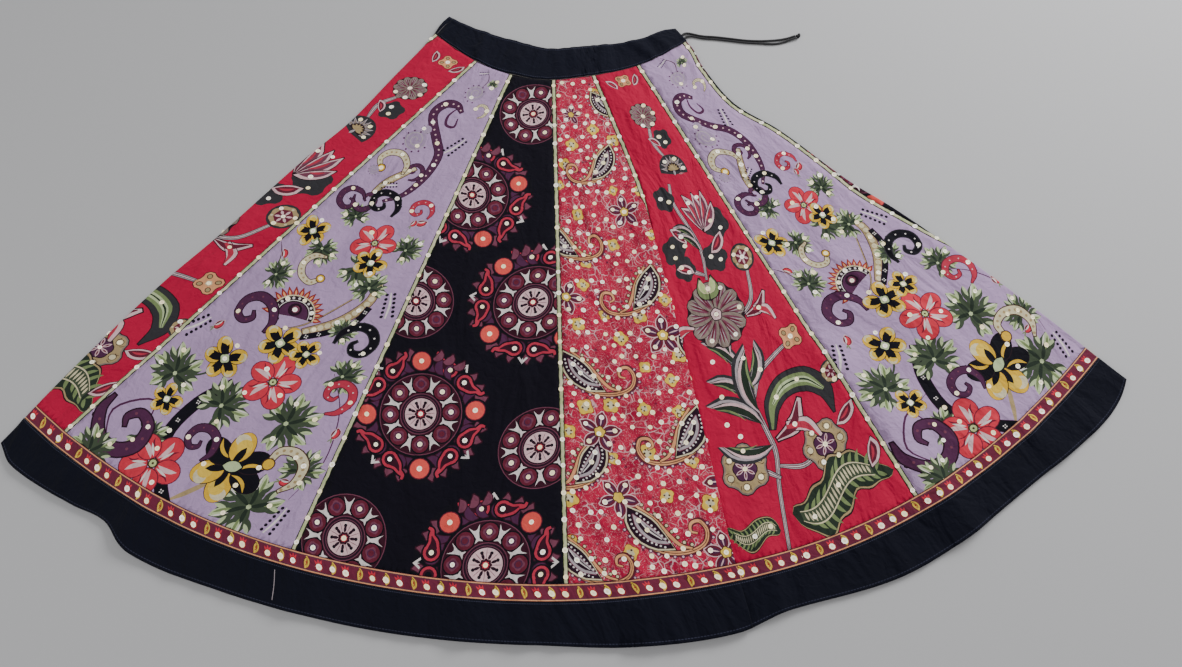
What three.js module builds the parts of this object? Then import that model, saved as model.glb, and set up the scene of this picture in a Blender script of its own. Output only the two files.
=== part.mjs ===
// A long flared skirt of twelve printed gores, laid flat like a fan: its front panels lie on its back panels.
// Millimetres, +Z up. The cloth is drawn on circles about the fan's centre: r is the distance from that
// centre, and an angle of 0 points straight at the hem, positive to the right.
import * as THREE from 'three';

// Sizes of the cloth
const WALL = 1.2;
const SEAM_GAP = 0.3;
const RING_GAP = 0.6;
const GORES = 12;
const WAIST_WIDTH_OF_GORE = 77;
const HEM_WIDTH_OF_GORE = 368;
const PIPING_WIDTH = 6.5;
const PIPING_PROUD = 0.3;

// Heights of the middle of the cloth above the surface, and the pitch of the layers in a pleat
const BACK_Z = WALL / 2;
const FRONT_Z = 5.7;
const PLY_PITCH = 1.8;
const RAMP = 26;

// The fan's centre in the part's frame, and the mean radii of its main lines
const FAN_CENTRE = { x: -46.5, y: 702.6 };
const WAIST_R = 330;
const BORDER_R = 1128;
const BORDER_LOW_R = 1150;

// Outline seen from above: radius of each line by angle
const WAISTBAND_TOP = [
  { at: -41, r: 264 }, { at: -27.6, r: 259 }, { at: -11.6, r: 260 }, { at: 0, r: 270 },
  { at: 13.5, r: 273 }, { at: 25, r: 286 }, { at: 34, r: 298 }, { at: 40, r: 304 }, { at: 44, r: 318 },
];
const WAIST_SEAM = [
  { at: -41, r: 303 }, { at: -30, r: 310 }, { at: -14, r: 325 }, { at: 0, r: 333 }, { at: 11, r: 333 },
  { at: 24, r: 339 }, { at: 35, r: 344 }, { at: 44, r: 346 },
];
const BORDER_TOP = [
  { at: -40, r: 1132 }, { at: -24, r: 1131 }, { at: -9, r: 1124 }, { at: 6, r: 1126 },
  { at: 24, r: 1134 }, { at: 45, r: 1121 },
];
const HEM_LINE = [
  { at: -39.5, r: 1186 }, { at: -38.4, r: 1196 }, { at: -36.8, r: 1208 }, { at: -31.5, r: 1199 },
  { at: -29, r: 1193 }, { at: -26.3, r: 1211 }, { at: -20, r: 1205 }, { at: -13, r: 1200 },
  { at: 0, r: 1199 }, { at: 6, r: 1208 }, { at: 12.5, r: 1213 }, { at: 16, r: 1203 },
  { at: 24, r: 1215 }, { at: 34, r: 1202 }, { at: 41, r: 1205 }, { at: 43.2, r: 1200 },
  { at: 44.8, r: 1188 },
];
const BORDER_DEPTH = 22;
const WAISTBAND_DEPTH = 58;
const HEM_BAND_DEPTH = 54;

// Outline at the sides, and the seams of the front, by radius
const LEFT_EDGE = [
  { r: 262, at: -39.6 }, { r: 302, at: -39.4 }, { r: 345, at: -38.2 }, { r: 434, at: -37.7 },
  { r: 531, at: -37.3 }, { r: 624, at: -38.2 }, { r: 802, at: -38.7 }, { r: 900, at: -39.1 },
  { r: 1072, at: -38.9 }, { r: 1210, at: -38.4 },
];
const RIGHT_EDGE = [
  { r: 262, at: 43.6 }, { r: 345, at: 42.4 }, { r: 386, at: 40.4 }, { r: 470, at: 39.1 },
  { r: 559, at: 41.3 }, { r: 700, at: 42.5 }, { r: 786, at: 43.6 }, { r: 900, at: 44.3 },
  { r: 1050, at: 44.7 }, { r: 1210, at: 44.7 },
];
const FRONT_SEAMS = [
  { waist: -22.3, border: -35.4 }, { waist: -10.2, border: -16.5 }, { waist: 2.1, border: 2.1 },
  { waist: 13.9, border: 8.2 }, { waist: 26.5, border: 26.9 },
];
const BACK_SEAMS = [
  { waist: 28.2, border: 32.6 }, { waist: 14.9, border: 21.4 }, { waist: 1.7, border: 10.2 },
  { waist: -11.5, border: -0.9 }, { waist: -24.8, border: -12.1 },
];
// How far the outer seams lie inside the folded sides; a negative value has gone round to the back
const LEFT_SEAM_INSIDE = [
  { r: 262, by: 10 }, { r: 332, by: 6 }, { r: 380, by: -12 }, { r: 500, by: -62 }, { r: 1128, by: -303 },
];
const RIGHT_SEAM_INSIDE = [
  { r: 262, by: 7 }, { r: 500, by: 8 }, { r: 660, by: 8 }, { r: 750, by: 14 }, { r: 850, by: 6 },
  { r: 930, by: -8 }, { r: 1128, by: -18 },
];

// The front knife pleat hides the seam of the fourth and fifth gores. The back takes up the rest of the
// sweep, with one such pleat in each of its gores.
const FRONT_PLEAT = {
  edge: [
    { r: 540, at: 15.9 }, { r: 584, at: 15.6 }, { r: 872, at: 14.35 }, { r: 1130, at: 13.5 },
    { r: 1210, at: 13.4 },
  ],
  startR: 560,
  depthAtBorder: 124,
};
const PLEATED_SEAM = 4;
const GORE_PAST_PLEAT = [
  { r: 330, wide: 75 }, { r: 560, wide: 109 }, { r: 663, wide: 145 }, { r: 1128, wide: 369 },
];
const BACK_PLEAT_PLACE = 0.68;
const BACK_PLEAT_START_R = 470;
const BACK_PLEAT_OPENING = 200;
const PLEAT_TURN_LENGTH = 44;
const LEAST_PLY = 0.8;
const LEAST_SINE = 0.05;
const CLEAR_OF_FOLD = 2;
const UNCOVERED_BY = 4;

// Soft ridges of the front: a line from one place to another, its height, and half its width
const RIDGES = [
  { r0: 700, at0: -27, r1: 930, at1: -30.6, high: 8, wide: 26 },
  { r0: 880, at0: 27.5, r1: 1230, at1: 29, high: 9, wide: 30 },
  { r0: 360, at0: 17.5, r1: 500, at1: 20, high: 5, wide: 18 },
  { r0: 370, at0: 30, r1: 560, at1: 29, high: 5, wide: 18 },
  { r0: 430, at0: 38, r1: 560, at1: 33, high: 4, wide: 20 },
  { r0: 1060, at0: -4.6, r1: 1230, at1: -4.4, high: 5, wide: 20 },
  { r0: 1090, at0: -0.8, r1: 1230, at1: -0.8, high: 4, wide: 18 },
  { r0: 1080, at0: 15.6, r1: 1230, at1: 15.4, high: 5, wide: 16 },
  { r0: 1120, at0: -27, r1: 1230, at1: -27.4, high: 6, wide: 22 },
  { r0: 270, at0: 38.5, r1: 345, at1: 37.5, high: 6, wide: 14 },
];
const RIDGE_END = 70;
const RIDGE_FROM_SIDE = { clear: 6, fade: 45 };
const RIDGE_BELOW_FRONT = 1.2;

// Drawstring: two strands that leave the right end of the waistband and share one knot. A route's points
// are x, y and z.
const CORD_DIAMETER = 3.4;
const CORD_SIDES = 8;
const CORD_STEP = 2.6 * CORD_DIAMETER;
const STRAND_A = [
  [180, 461.4, 3.2], [184.3, 465.1, 2.9], [190, 466.8, 2.3], [199, 465.4, 1.8], [211.5, 462, 1.75],
  [236.7, 459.6, 1.75], [261.8, 456.2, 1.75], [286.9, 452.6, 1.75], [312, 451.4, 1.75], [330, 452.2, 1.75],
  [342, 453.4, 1.75], [352, 455, 2.1], [362, 457.1, 3.1], [366, 458.3, 3.7], [370.7, 459.9, 4],
];
const STRAND_B = [
  [184.2, 455.15, 3.2], [188.7, 459, 2.9], [195, 460.8, 2.3], [203, 459.8, 1.8], [214, 457.2, 1.75],
  [237, 455, 1.75], [262, 451.6, 1.75], [287, 448, 1.75], [312, 446.4, 1.75], [326, 445.4, 1.75],
  [338, 445.6, 1.75], [350, 448.2, 2.1], [361, 452.2, 3.1], [366, 454.2, 3.7], [371.9, 456.35, 4],
];
const KNOT = { x: 376.3, y: 459.95, turned: 19.9, long: 10, thick: 8.4, end: 7.6, tip: 2.6, sides: 12 };
const KNOT_ABOVE_SURFACE = 0.05;

// Meshing: rows along a gore, and the stretch of flat cloth or the turn that one column takes
const GORE_ROWS = 9;
const ROW_CLEAR = 12;
const LEFT_CROSSING = { from: WAIST_R, to: 386, rows: 8 };
const RIGHT_CROSSING = { from: 850, to: 930, rows: 4 };
const DENSE_FLAT_STEP = 6;
const DENSE_TURN_STEPS = 10;
const SEAM_STEPS = 4;
const FLAT_STRETCH = 30;
const TURN_PER_COLUMN = Math.PI / 3;

const RAD = Math.PI / 180;
const smooth = (t) => {
  const u = Math.min(1, Math.max(0, t));
  return u * u * (3 - 2 * u);
};
const mix = (a, b, t) => a + (b - a) * t;

// Value of a table at a place, on a smooth curve through its rows
function look(table, place, key, value) {
  const last = table.length - 1;
  if (place <= table[0][key]) return table[0][value];
  if (place >= table[last][key]) return table[last][value];
  const i = table.findIndex((row) => row[key] > place) - 1;
  const slope = (k) => {
    const a = table[Math.max(0, k - 1)];
    const b = table[Math.min(last, k + 1)];
    return (b[value] - a[value]) / (b[key] - a[key]);
  };
  const step = table[i + 1][key] - table[i][key];
  const t = (place - table[i][key]) / step;
  const eased = smooth(t);
  const lift = t * (1 - t) * step * ((1 - t) * slope(i) - t * slope(i + 1));
  return mix(table[i][value], table[i + 1][value], eased) + lift;
}

const bandTop = (at) => look(WAISTBAND_TOP, at, 'at', 'r');
const waistSeam = (at) => look(WAIST_SEAM, at, 'at', 'r');
const borderTop = (at) => look(BORDER_TOP, at, 'at', 'r');
const hemLine = (at) => look(HEM_LINE, at, 'at', 'r');
const goreRadius = (share, at) => mix(waistSeam(at) + RING_GAP / 2, borderTop(at) - RING_GAP / 2, share);

// Angle at which a straight front seam crosses a row of the gores
function seamAngle(seam, share) {
  const from = { x: WAIST_R * Math.sin(seam.waist * RAD), y: WAIST_R * Math.cos(seam.waist * RAD) };
  const to = { x: BORDER_R * Math.sin(seam.border * RAD), y: BORDER_R * Math.cos(seam.border * RAD) };
  const along = { x: to.x - from.x, y: to.y - from.y };
  const a = along.x * along.x + along.y * along.y;
  const b = from.x * along.x + from.y * along.y;
  let at = mix(seam.waist, seam.border, share);
  for (let i = 0; i < SEAM_STEPS; i += 1) {
    const r = goreRadius(share, at);
    const t = (Math.sqrt(b * b - a * (WAIST_R * WAIST_R - r * r)) - b) / a;
    at = Math.atan2(from.x + t * along.x, from.y + t * along.y) / RAD;
  }
  return at;
}

// Height of the soft ridges at a place of the front
function ridges(r, at) {
  let z = 0;
  for (const g of RIDGES) {
    const t = (r - g.r0) / (g.r1 - g.r0);
    const along = smooth((r - g.r0) / RIDGE_END + 0.5) * smooth((g.r1 - r) / RIDGE_END + 0.5);
    const across = ((at - mix(g.at0, g.at1, t)) * RAD * r) / g.wide;
    z += g.high * along * Math.exp(-across * across);
  }
  return z;
}

// A knife pleat at a row: the turning angle and length of its middle ply
function pleatAt(r, startR, depth) {
  const turn = Math.PI * Math.min(1, Math.max(0, (r - startR) / PLEAT_TURN_LENGTH));
  const bend = PLY_PITCH / 2;
  const room = 2 * PLY_PITCH - 2 * bend * (1 - Math.cos(turn));
  const grown = Math.max(LEAST_PLY, depth);
  const rising = Math.min(PLY_PITCH, room / Math.max(LEAST_SINE, Math.sin(turn)));
  const length = turn >= Math.PI ? grown : rising;
  const drop = 2 * bend * (1 - Math.cos(turn)) + length * Math.sin(turn);
  return { turn, length, drop, bend };
}

// One layer of cloth from left to right at a row, with its pleats, as [x along the row, z, shown]
function layer(xLeft, xRight, zBase, pleats) {
  const path = [];
  let x = xLeft;
  const flat = (to, zFrom, zTo, shown) => {
    const steps = Math.max(1, Math.ceil((to - x) / DENSE_FLAT_STEP));
    for (let i = 0; i < steps; i += 1) {
      const t = i / steps;
      path.push([mix(x, to, t), mix(zFrom, zTo, smooth(t)), shown]);
    }
    x = to;
  };
  for (const p of pleats) {
    const top = zBase + p.drop;
    const inner = p.edge + Math.min(0, p.length * Math.cos(p.turn)) - CLEAR_OF_FOLD;
    flat(inner - RAMP, zBase, zBase, 1);
    flat(inner, zBase, top, 1);
    flat(p.edge, top, top, 1);
    if (p.turn === 0) continue;
    for (let i = 0; i < DENSE_TURN_STEPS; i += 1) {
      const b = (p.turn * i) / DENSE_TURN_STEPS;
      const shown = 1 - i / DENSE_TURN_STEPS;
      path.push([p.edge + p.bend * Math.sin(b), top - p.bend + p.bend * Math.cos(b), shown]);
    }
    const head = { x: Math.cos(p.turn), z: -Math.sin(p.turn) };
    const start = { x: p.edge + p.bend * Math.sin(p.turn), z: top - p.bend + p.bend * Math.cos(p.turn) };
    const steps = Math.max(2, Math.ceil(p.length / DENSE_FLAT_STEP));
    for (let i = 0; i < steps; i += 1) {
      const d = (p.length * i) / steps;
      path.push([start.x + head.x * d, start.z + head.z * d, 0]);
    }
    const side = { x: -Math.sin(p.turn), z: -Math.cos(p.turn) };
    const centre = {
      x: start.x + head.x * p.length - p.bend * side.x,
      z: start.z + head.z * p.length - p.bend * side.z,
    };
    for (let i = 0; i < DENSE_TURN_STEPS; i += 1) {
      const b = p.turn * (1 - i / DENSE_TURN_STEPS);
      path.push([centre.x - p.bend * Math.sin(b), centre.z - p.bend * Math.cos(b), 0]);
    }
    x = centre.x;
    flat(Math.max(x, p.edge + p.bend + UNCOVERED_BY), zBase, zBase, 0);
  }
  flat(xRight, zBase, zBase, 1);
  path.push([xRight, zBase, 1]);
  return path;
}

// Half turn of the cloth round a folded side, from the lower layer to the upper one or back
function sideTurn(xCentre, toRight) {
  const bend = (FRONT_Z - BACK_Z) / 2;
  const path = [];
  for (let i = 1; i < 2 * DENSE_TURN_STEPS; i += 1) {
    const b = (Math.PI * i) / (2 * DENSE_TURN_STEPS);
    const shown = i / (2 * DENSE_TURN_STEPS);
    const x = xCentre + (toRight ? 1 : -1) * bend * Math.sin(b);
    path.push([x, BACK_Z + bend - bend * Math.cos(b), shown]);
  }
  return toRight ? path.reverse() : path;
}

// The whole closed line of cloth at a row, from the left side round the front to the right and back beneath
const sections = new Map();
function section(r) {
  if (sections.has(r)) return sections.get(r);
  const bend = (FRONT_Z - BACK_Z) / 2;
  const left = look(LEFT_EDGE, r, 'r', 'at') * RAD * r + WALL / 2;
  const right = look(RIGHT_EDGE, r, 'r', 'at') * RAD * r - WALL / 2;
  const width = mix(WAIST_WIDTH_OF_GORE, HEM_WIDTH_OF_GORE, (r - WAIST_R) / (BORDER_R - WAIST_R));

  const edge = look(FRONT_PLEAT.edge, r, 'r', 'at') * RAD * r - WALL / 2 - PLY_PITCH / 2;
  const turnedR = FRONT_PLEAT.startR + PLEAT_TURN_LENGTH;
  const grown = (r - turnedR) / (BORDER_R - turnedR);
  const front = pleatAt(r, FRONT_PLEAT.startR, FRONT_PLEAT.depthAtBorder * grown);
  const frontPath = layer(left + bend, right - bend, FRONT_Z, [{ ...front, edge }]);

  const insideLeft = look(LEFT_SEAM_INSIDE, r, 'r', 'by');
  const insideRight = look(RIGHT_SEAM_INSIDE, r, 'r', 'by');
  const share = Math.min(1, Math.max(0, (r - WAIST_R) / (BORDER_R - WAIST_R)));
  const backLeft = left - Math.min(0, insideLeft);
  const backRight = right + Math.min(0, insideRight);
  const backInner = BACK_SEAMS.map((seam) => seamAngle(seam, share) * RAD * r).reverse();
  const backSeams = [backLeft, ...backInner, backRight];
  const opened = smooth((r - BACK_PLEAT_START_R - PLEAT_TURN_LENGTH) / BACK_PLEAT_OPENING);
  const backPleats = [];
  for (let k = 0; k + 1 < backSeams.length; k += 1) {
    const spare = Math.max(0, width - (backSeams[k + 1] - backSeams[k])) / 2;
    const edgeX = mix(backSeams[k], backSeams[k + 1], BACK_PLEAT_PLACE);
    backPleats.push({ ...pleatAt(r, BACK_PLEAT_START_R, spare * opened), edge: edgeX });
  }
  const backPath = layer(left + bend, right - bend, BACK_Z, backPleats).map(([x, z]) => [x, z, 0]).reverse();

  const points = [
    ...sideTurn(left + bend, false).slice(DENSE_TURN_STEPS - 1),
    ...frontPath,
    ...sideTurn(right - bend, true),
    ...backPath,
    ...sideTurn(left + bend, false).slice(0, DENSE_TURN_STEPS - 1),
  ];
  // Ridges lift the front only, and fade towards the folded sides
  for (const p of points) {
    const fromSide = Math.min(p[0] - left, right - p[0]);
    const onFrontLayer = smooth(p[1] - FRONT_Z + RIDGE_BELOW_FRONT);
    const awayFromSide = smooth((fromSide - RIDGE_FROM_SIDE.clear) / RIDGE_FROM_SIDE.fade);
    p[1] += onFrontLayer * awayFromSide * ridges(r, p[0] / r / RAD);
  }
  const n = points.length;
  const along = [0];
  const ticks = [0];
  let last = null;
  for (let i = 1; i <= n; i += 1) {
    const a = points[i - 1];
    const b = points[i % n];
    const step = Math.hypot(b[0] - a[0], b[1] - a[1]);
    const heading = Math.atan2(b[1] - a[1], b[0] - a[0]);
    let bent = last === null ? 0 : Math.abs(heading - last);
    if (bent > Math.PI) bent = 2 * Math.PI - bent;
    last = heading;
    along.push(along[i - 1] + step);
    ticks.push(ticks[i - 1] + step / FLAT_STRETCH + bent / TURN_PER_COLUMN);
  }
  const made = { points, along, ticks, length: along[n], total: ticks[n], seams: [] };

  // Seams as lengths along the line, counted from the left side
  const onFront = (x) => {
    for (let i = 1; i < n; i += 1) {
      const isUnder = points[i][2] < 0.5 && points[i - 1][2] < 0.5;
      if (!isUnder && points[i][0] >= x && points[i - 1][0] < x) return along[i - 1] + x - points[i - 1][0];
    }
    return 0;
  };
  const onBack = (x) => {
    for (let i = 1; i < n; i += 1) {
      const isLow = points[i][1] < BACK_Z + 0.1 && points[i - 1][1] < BACK_Z + 0.1;
      if (isLow && points[i][0] < x && points[i - 1][0] >= x) return along[i - 1] + points[i - 1][0] - x;
    }
    return 0;
  };
  const rightAlong = along[DENSE_TURN_STEPS + frontPath.length + DENSE_TURN_STEPS];
  made.seams.push(insideLeft);
  FRONT_SEAMS.forEach((seam) => made.seams.push(onFront(seamAngle(seam, share) * RAD * r)));
  made.seams[PLEATED_SEAM] = made.seams[PLEATED_SEAM + 1] - look(GORE_PAST_PLEAT, r, 'r', 'wide');
  made.seams.push(rightAlong - insideRight);
  BACK_SEAMS.forEach((seam) => made.seams.push(onBack(seamAngle(seam, share) * RAD * r)));
  made.seams.push(made.length + insideLeft);
  sections.set(r, made);
  return made;
}

// Place on the cloth line by length, with its normal, outward from the skirt's inside
function placeAt(s, length) {
  const n = s.points.length;
  const wrapped = ((length % s.length) + s.length) % s.length;
  let lo = 0;
  let hi = n;
  while (hi - lo > 1) {
    const mid = (lo + hi) >> 1;
    if (s.along[mid] <= wrapped) lo = mid;
    else hi = mid;
  }
  const t = (wrapped - s.along[lo]) / Math.max(1e-9, s.along[lo + 1] - s.along[lo]);
  const at = (i) => s.points[((i % n) + n) % n];
  const a = at(lo);
  const b = at(lo + 1);
  const normal = (i) => {
    const p = at(i - 1);
    const q = at(i + 1);
    const len = Math.hypot(q[0] - p[0], q[1] - p[1]);
    return [-(q[1] - p[1]) / len, (q[0] - p[0]) / len];
  };
  const na = normal(lo);
  const nb = normal(lo + 1);
  const nx = mix(na[0], nb[0], t);
  const nz = mix(na[1], nb[1], t);
  const len = Math.hypot(nx, nz);
  const [x, z, shown] = [0, 1, 2].map((k) => mix(a[k], b[k], t));
  return { x, z, nx: nx / len, nz: nz / len, shown };
}

// Running count of columns at a length, and its inverse
function tickAt(s, length) {
  const turns = Math.floor(length / s.length);
  const wrapped = length - turns * s.length;
  let i = 0;
  while (i < s.points.length - 1 && s.along[i + 1] <= wrapped) i += 1;
  const t = (wrapped - s.along[i]) / Math.max(1e-9, s.along[i + 1] - s.along[i]);
  return turns * s.total + mix(s.ticks[i], s.ticks[i + 1], t);
}
function lengthAtTick(s, tick) {
  const turns = Math.floor(tick / s.total);
  const wrapped = tick - turns * s.total;
  let i = 0;
  while (i < s.points.length - 1 && s.ticks[i + 1] <= wrapped) i += 1;
  const t = (wrapped - s.ticks[i]) / Math.max(1e-9, s.ticks[i + 1] - s.ticks[i]);
  return turns * s.length + mix(s.along[i], s.along[i + 1], t);
}

// A wall of cloth: rows of radii, and on each row the cloth between two lengths
function clothWall({ rows, from, to, radius, columns, proud = 0, ring = false }) {
  const outer = [];
  const inner = [];
  rows.forEach((row, j) => {
    const s = section(row);
    const a = from(s);
    const b = to(s);
    const first = tickAt(s, a);
    const last = tickAt(s, b);
    const count = ring ? columns : columns + 1;
    for (let i = 0; i < count; i += 1) {
      const isEnd = i === 0 || (!ring && i === columns);
      const end = i === 0 ? a : b;
      const length = isEnd ? end : lengthAtTick(s, mix(first, last, i / columns));
      const p = placeAt(s, length);
      const at = p.x / row / RAD;
      const r = radius(j, at);
      const put = (list, off) => {
        const turn = p.nx * off;
        list.push(
          FAN_CENTRE.x + r * Math.sin(at * RAD) + turn * Math.cos(at * RAD),
          FAN_CENTRE.y - r * Math.cos(at * RAD) + turn * Math.sin(at * RAD),
          Math.max(0, p.z + p.nz * off),
        );
      };
      put(outer, WALL / 2 + proud * p.shown);
      put(inner, -WALL / 2);
    }
  });
  const across = ring ? columns : columns + 1;
  const total = rows.length * across;
  const index = [];
  const quad = (a, b, c, d) => index.push(a, b, c, a, c, d);
  const at = (j, i) => j * across + (i % across);
  for (let j = 0; j + 1 < rows.length; j += 1) {
    for (let i = 0; i < columns; i += 1) {
      quad(at(j, i), at(j + 1, i), at(j + 1, i + 1), at(j, i + 1));
      quad(total + at(j, i), total + at(j, i + 1), total + at(j + 1, i + 1), total + at(j + 1, i));
    }
  }
  const bottom = rows.length - 1;
  for (let i = 0; i < columns; i += 1) {
    quad(at(0, i), at(0, i + 1), total + at(0, i + 1), total + at(0, i));
    quad(at(bottom, i + 1), at(bottom, i), total + at(bottom, i), total + at(bottom, i + 1));
  }
  if (!ring) {
    for (let j = 0; j < bottom; j += 1) {
      quad(at(j, 0), total + at(j, 0), total + at(j + 1, 0), at(j + 1, 0));
      quad(at(j, columns), at(j + 1, columns), total + at(j + 1, columns), total + at(j, columns));
    }
  }
  const geometry = new THREE.BufferGeometry();
  geometry.setAttribute('position', new THREE.Float32BufferAttribute([...outer, ...inner], 3));
  geometry.setIndex(index);
  geometry.computeVertexNormals();
  return geometry;
}

function finish(color, roughness = 0.85) {
  return new THREE.MeshStandardMaterial({ color, roughness, metalness: 0 });
}
const PRINTS = [finish('#b23a35'), finish('#b9a7cf'), finish('#1d1a20'), finish('#c8476a')];
const NAVY = finish('#17161f');
const PLUM = finish('#6a2338');
const CREAM = finish('#d9d6b4');
const BLACK = finish('#0d0c10', 0.6);

const skirt = new THREE.Group();
const add = (name, geometry, material) => {
  const mesh = new THREE.Mesh(geometry, material);
  mesh.name = name;
  skirt.add(mesh);
};
const twoDigits = (n) => String(n).padStart(2, '0');

// Rows of a gore from the waist to the border, closer together where its cloth turns over
function goreRows(turns) {
  const rows = [];
  for (let j = 0; j <= GORE_ROWS; j += 1) rows.push(mix(WAIST_R, BORDER_R, j / GORE_ROWS));
  for (const turn of turns) {
    const kept = rows.filter((r) => r < turn.from - ROW_CLEAR || r > turn.to + ROW_CLEAR);
    for (let k = 0; k <= turn.rows; k += 1) kept.push(mix(turn.from, turn.to, k / turn.rows));
    rows.splice(0, rows.length, ...kept.sort((a, b) => a - b));
  }
  return rows;
}
const onGore = (rows) => (j, at) => goreRadius((rows[j] - WAIST_R) / (BORDER_R - WAIST_R), at);

const half = PIPING_WIDTH / 2;
const FRONT_TURN = { from: FRONT_PLEAT.startR, to: FRONT_PLEAT.startR + PLEAT_TURN_LENGTH, rows: 4 };
const SEAM_TURN = { from: FRONT_TURN.to, to: FRONT_TURN.to + 60, rows: 5 };
const BACK_TURN = { from: BACK_PLEAT_START_R, to: BACK_PLEAT_START_R + PLEAT_TURN_LENGTH, rows: 4 };
const LEFT_TURNS = [LEFT_CROSSING, BACK_TURN];
const RIGHT_TURNS = [BACK_TURN, RIGHT_CROSSING];
const GORE_PLANS = [
  { columns: 11, turns: LEFT_TURNS }, { columns: 7 }, { columns: 7 },
  { columns: 14, turns: [FRONT_TURN, SEAM_TURN] }, { columns: 8, turns: [FRONT_TURN, SEAM_TURN] },
  { columns: 10, turns: RIGHT_TURNS }, { columns: 12, turns: RIGHT_TURNS },
  { columns: 11, turns: [BACK_TURN] }, { columns: 11, turns: [BACK_TURN] },
  { columns: 11, turns: [BACK_TURN] }, { columns: 11, turns: [BACK_TURN] },
  { columns: 12, turns: LEFT_TURNS },
];
GORE_PLANS.forEach(({ columns, turns = [] }, k) => {
  const rows = goreRows(turns);
  const from = (s) => s.seams[k] + half + SEAM_GAP;
  const to = (s) => s.seams[k + 1] - half - SEAM_GAP;
  const geometry = clothWall({ rows, from, to, radius: onGore(rows), columns });
  add(`gore_${twoDigits(k + 1)}`, geometry, PRINTS[k % PRINTS.length]);
});
const PIPING_TURNS = { 0: LEFT_TURNS, 4: [FRONT_TURN, SEAM_TURN], 6: RIGHT_TURNS };
for (let k = 0; k < GORES; k += 1) {
  const rows = goreRows(PIPING_TURNS[k] ?? []);
  const from = (s) => s.seams[k] - half;
  const to = (s) => s.seams[k] + half;
  const columns = PIPING_TURNS[k] ? 4 : 2;
  const geometry = clothWall({ rows, from, to, radius: onGore(rows), columns, proud: PIPING_PROUD });
  add(`piping_${twoDigits(k + 1)}`, geometry, CREAM);
}

// Rings round the skirt: waistband, border and hem band. Each line is a row of the cloth and its own radius.
function ring(name, lines, columns, material) {
  const rows = lines.map((line) => line.row);
  const radius = (j, at) => lines[j].radius(at);
  const geometry = clothWall({ rows, from: () => 0, to: (s) => s.length, radius, columns, ring: true });
  add(name, geometry, material);
}
const gap = RING_GAP / 2;
const borderFoot = (at) => borderTop(at) + BORDER_DEPTH;
ring('waistband', [
  { row: WAIST_R - WAISTBAND_DEPTH, radius: bandTop },
  { row: WAIST_R - WAISTBAND_DEPTH / 2, radius: (at) => mix(bandTop(at), waistSeam(at), 0.5) },
  { row: WAIST_R - 1, radius: (at) => waistSeam(at) - gap },
], 64, NAVY);
ring('border', [
  { row: BORDER_R, radius: (at) => borderTop(at) + gap },
  { row: BORDER_LOW_R, radius: (at) => borderFoot(at) - gap },
], 104, PLUM);
ring('hem_band', [
  { row: BORDER_LOW_R, radius: (at) => borderFoot(at) + gap },
  { row: BORDER_LOW_R + HEM_BAND_DEPTH / 2, radius: (at) => mix(borderFoot(at), hemLine(at), 0.5) },
  { row: BORDER_LOW_R + HEM_BAND_DEPTH, radius: hemLine },
], 112, NAVY);

// Drawstring strands and the knot that joins them
function strand(name, route) {
  const curve = new THREE.CatmullRomCurve3(route.map(([x, y, z]) => new THREE.Vector3(x, y, z)));
  const outline = new THREE.Shape();
  for (let i = 0; i < CORD_SIDES; i += 1) {
    const turn = ((i + 0.5) / CORD_SIDES) * 2 * Math.PI;
    const corner = [(CORD_DIAMETER / 2) * Math.cos(turn), (CORD_DIAMETER / 2) * Math.sin(turn)];
    if (i === 0) outline.moveTo(...corner);
    else outline.lineTo(...corner);
  }
  const steps = Math.round(curve.getLength() / CORD_STEP);
  const geometry = new THREE.ExtrudeGeometry(outline, { steps, extrudePath: curve, bevelEnabled: false });
  add(name, geometry, BLACK);
}
strand('drawstring_a', STRAND_A);
strand('drawstring_b', STRAND_B);
const knotProfile = [
  [0, -KNOT.long / 2], [KNOT.end / 2, -KNOT.long / 2], [KNOT.thick / 2, -KNOT.long / 6],
  [KNOT.thick / 2, KNOT.long / 6], [KNOT.tip, KNOT.long / 2], [0, KNOT.long / 2],
];
const knotShape = new THREE.LatheGeometry(knotProfile.map(([x, y]) => new THREE.Vector2(x, y)), KNOT.sides);
knotShape.rotateZ(-Math.PI / 2);
knotShape.rotateZ(KNOT.turned * RAD);
knotShape.translate(KNOT.x, KNOT.y, KNOT.thick / 2 + KNOT_ABOVE_SURFACE);
add('drawstring_knot', knotShape, BLACK);

export default skirt;
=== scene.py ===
# A long flared skirt of twelve printed gores with sequins, laid flat like a fan on a pale floor.
# The cloth is drawn in millimetres on circles about the fan's centre, as its solids are: r is the distance
# from that centre, and an angle of 0 points straight at the hem. The meshes are in metres.
import math
import random

import bpy
import numpy as np
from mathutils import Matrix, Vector
from mathutils.geometry import delaunay_2d_cdt


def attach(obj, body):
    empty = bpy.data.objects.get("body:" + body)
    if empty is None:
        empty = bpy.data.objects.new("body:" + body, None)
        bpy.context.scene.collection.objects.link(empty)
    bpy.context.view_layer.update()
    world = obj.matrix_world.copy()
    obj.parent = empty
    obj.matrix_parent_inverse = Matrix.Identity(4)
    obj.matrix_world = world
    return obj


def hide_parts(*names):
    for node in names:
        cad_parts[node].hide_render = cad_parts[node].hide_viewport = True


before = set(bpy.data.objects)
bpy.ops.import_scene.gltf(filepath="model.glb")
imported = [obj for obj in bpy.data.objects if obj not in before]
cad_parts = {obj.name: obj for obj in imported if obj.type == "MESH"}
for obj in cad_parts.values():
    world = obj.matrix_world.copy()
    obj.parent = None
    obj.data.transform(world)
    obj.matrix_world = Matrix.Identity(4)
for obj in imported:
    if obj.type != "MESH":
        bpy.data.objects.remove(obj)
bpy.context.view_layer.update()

MM = 0.001
RAD = math.pi / 180

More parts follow.
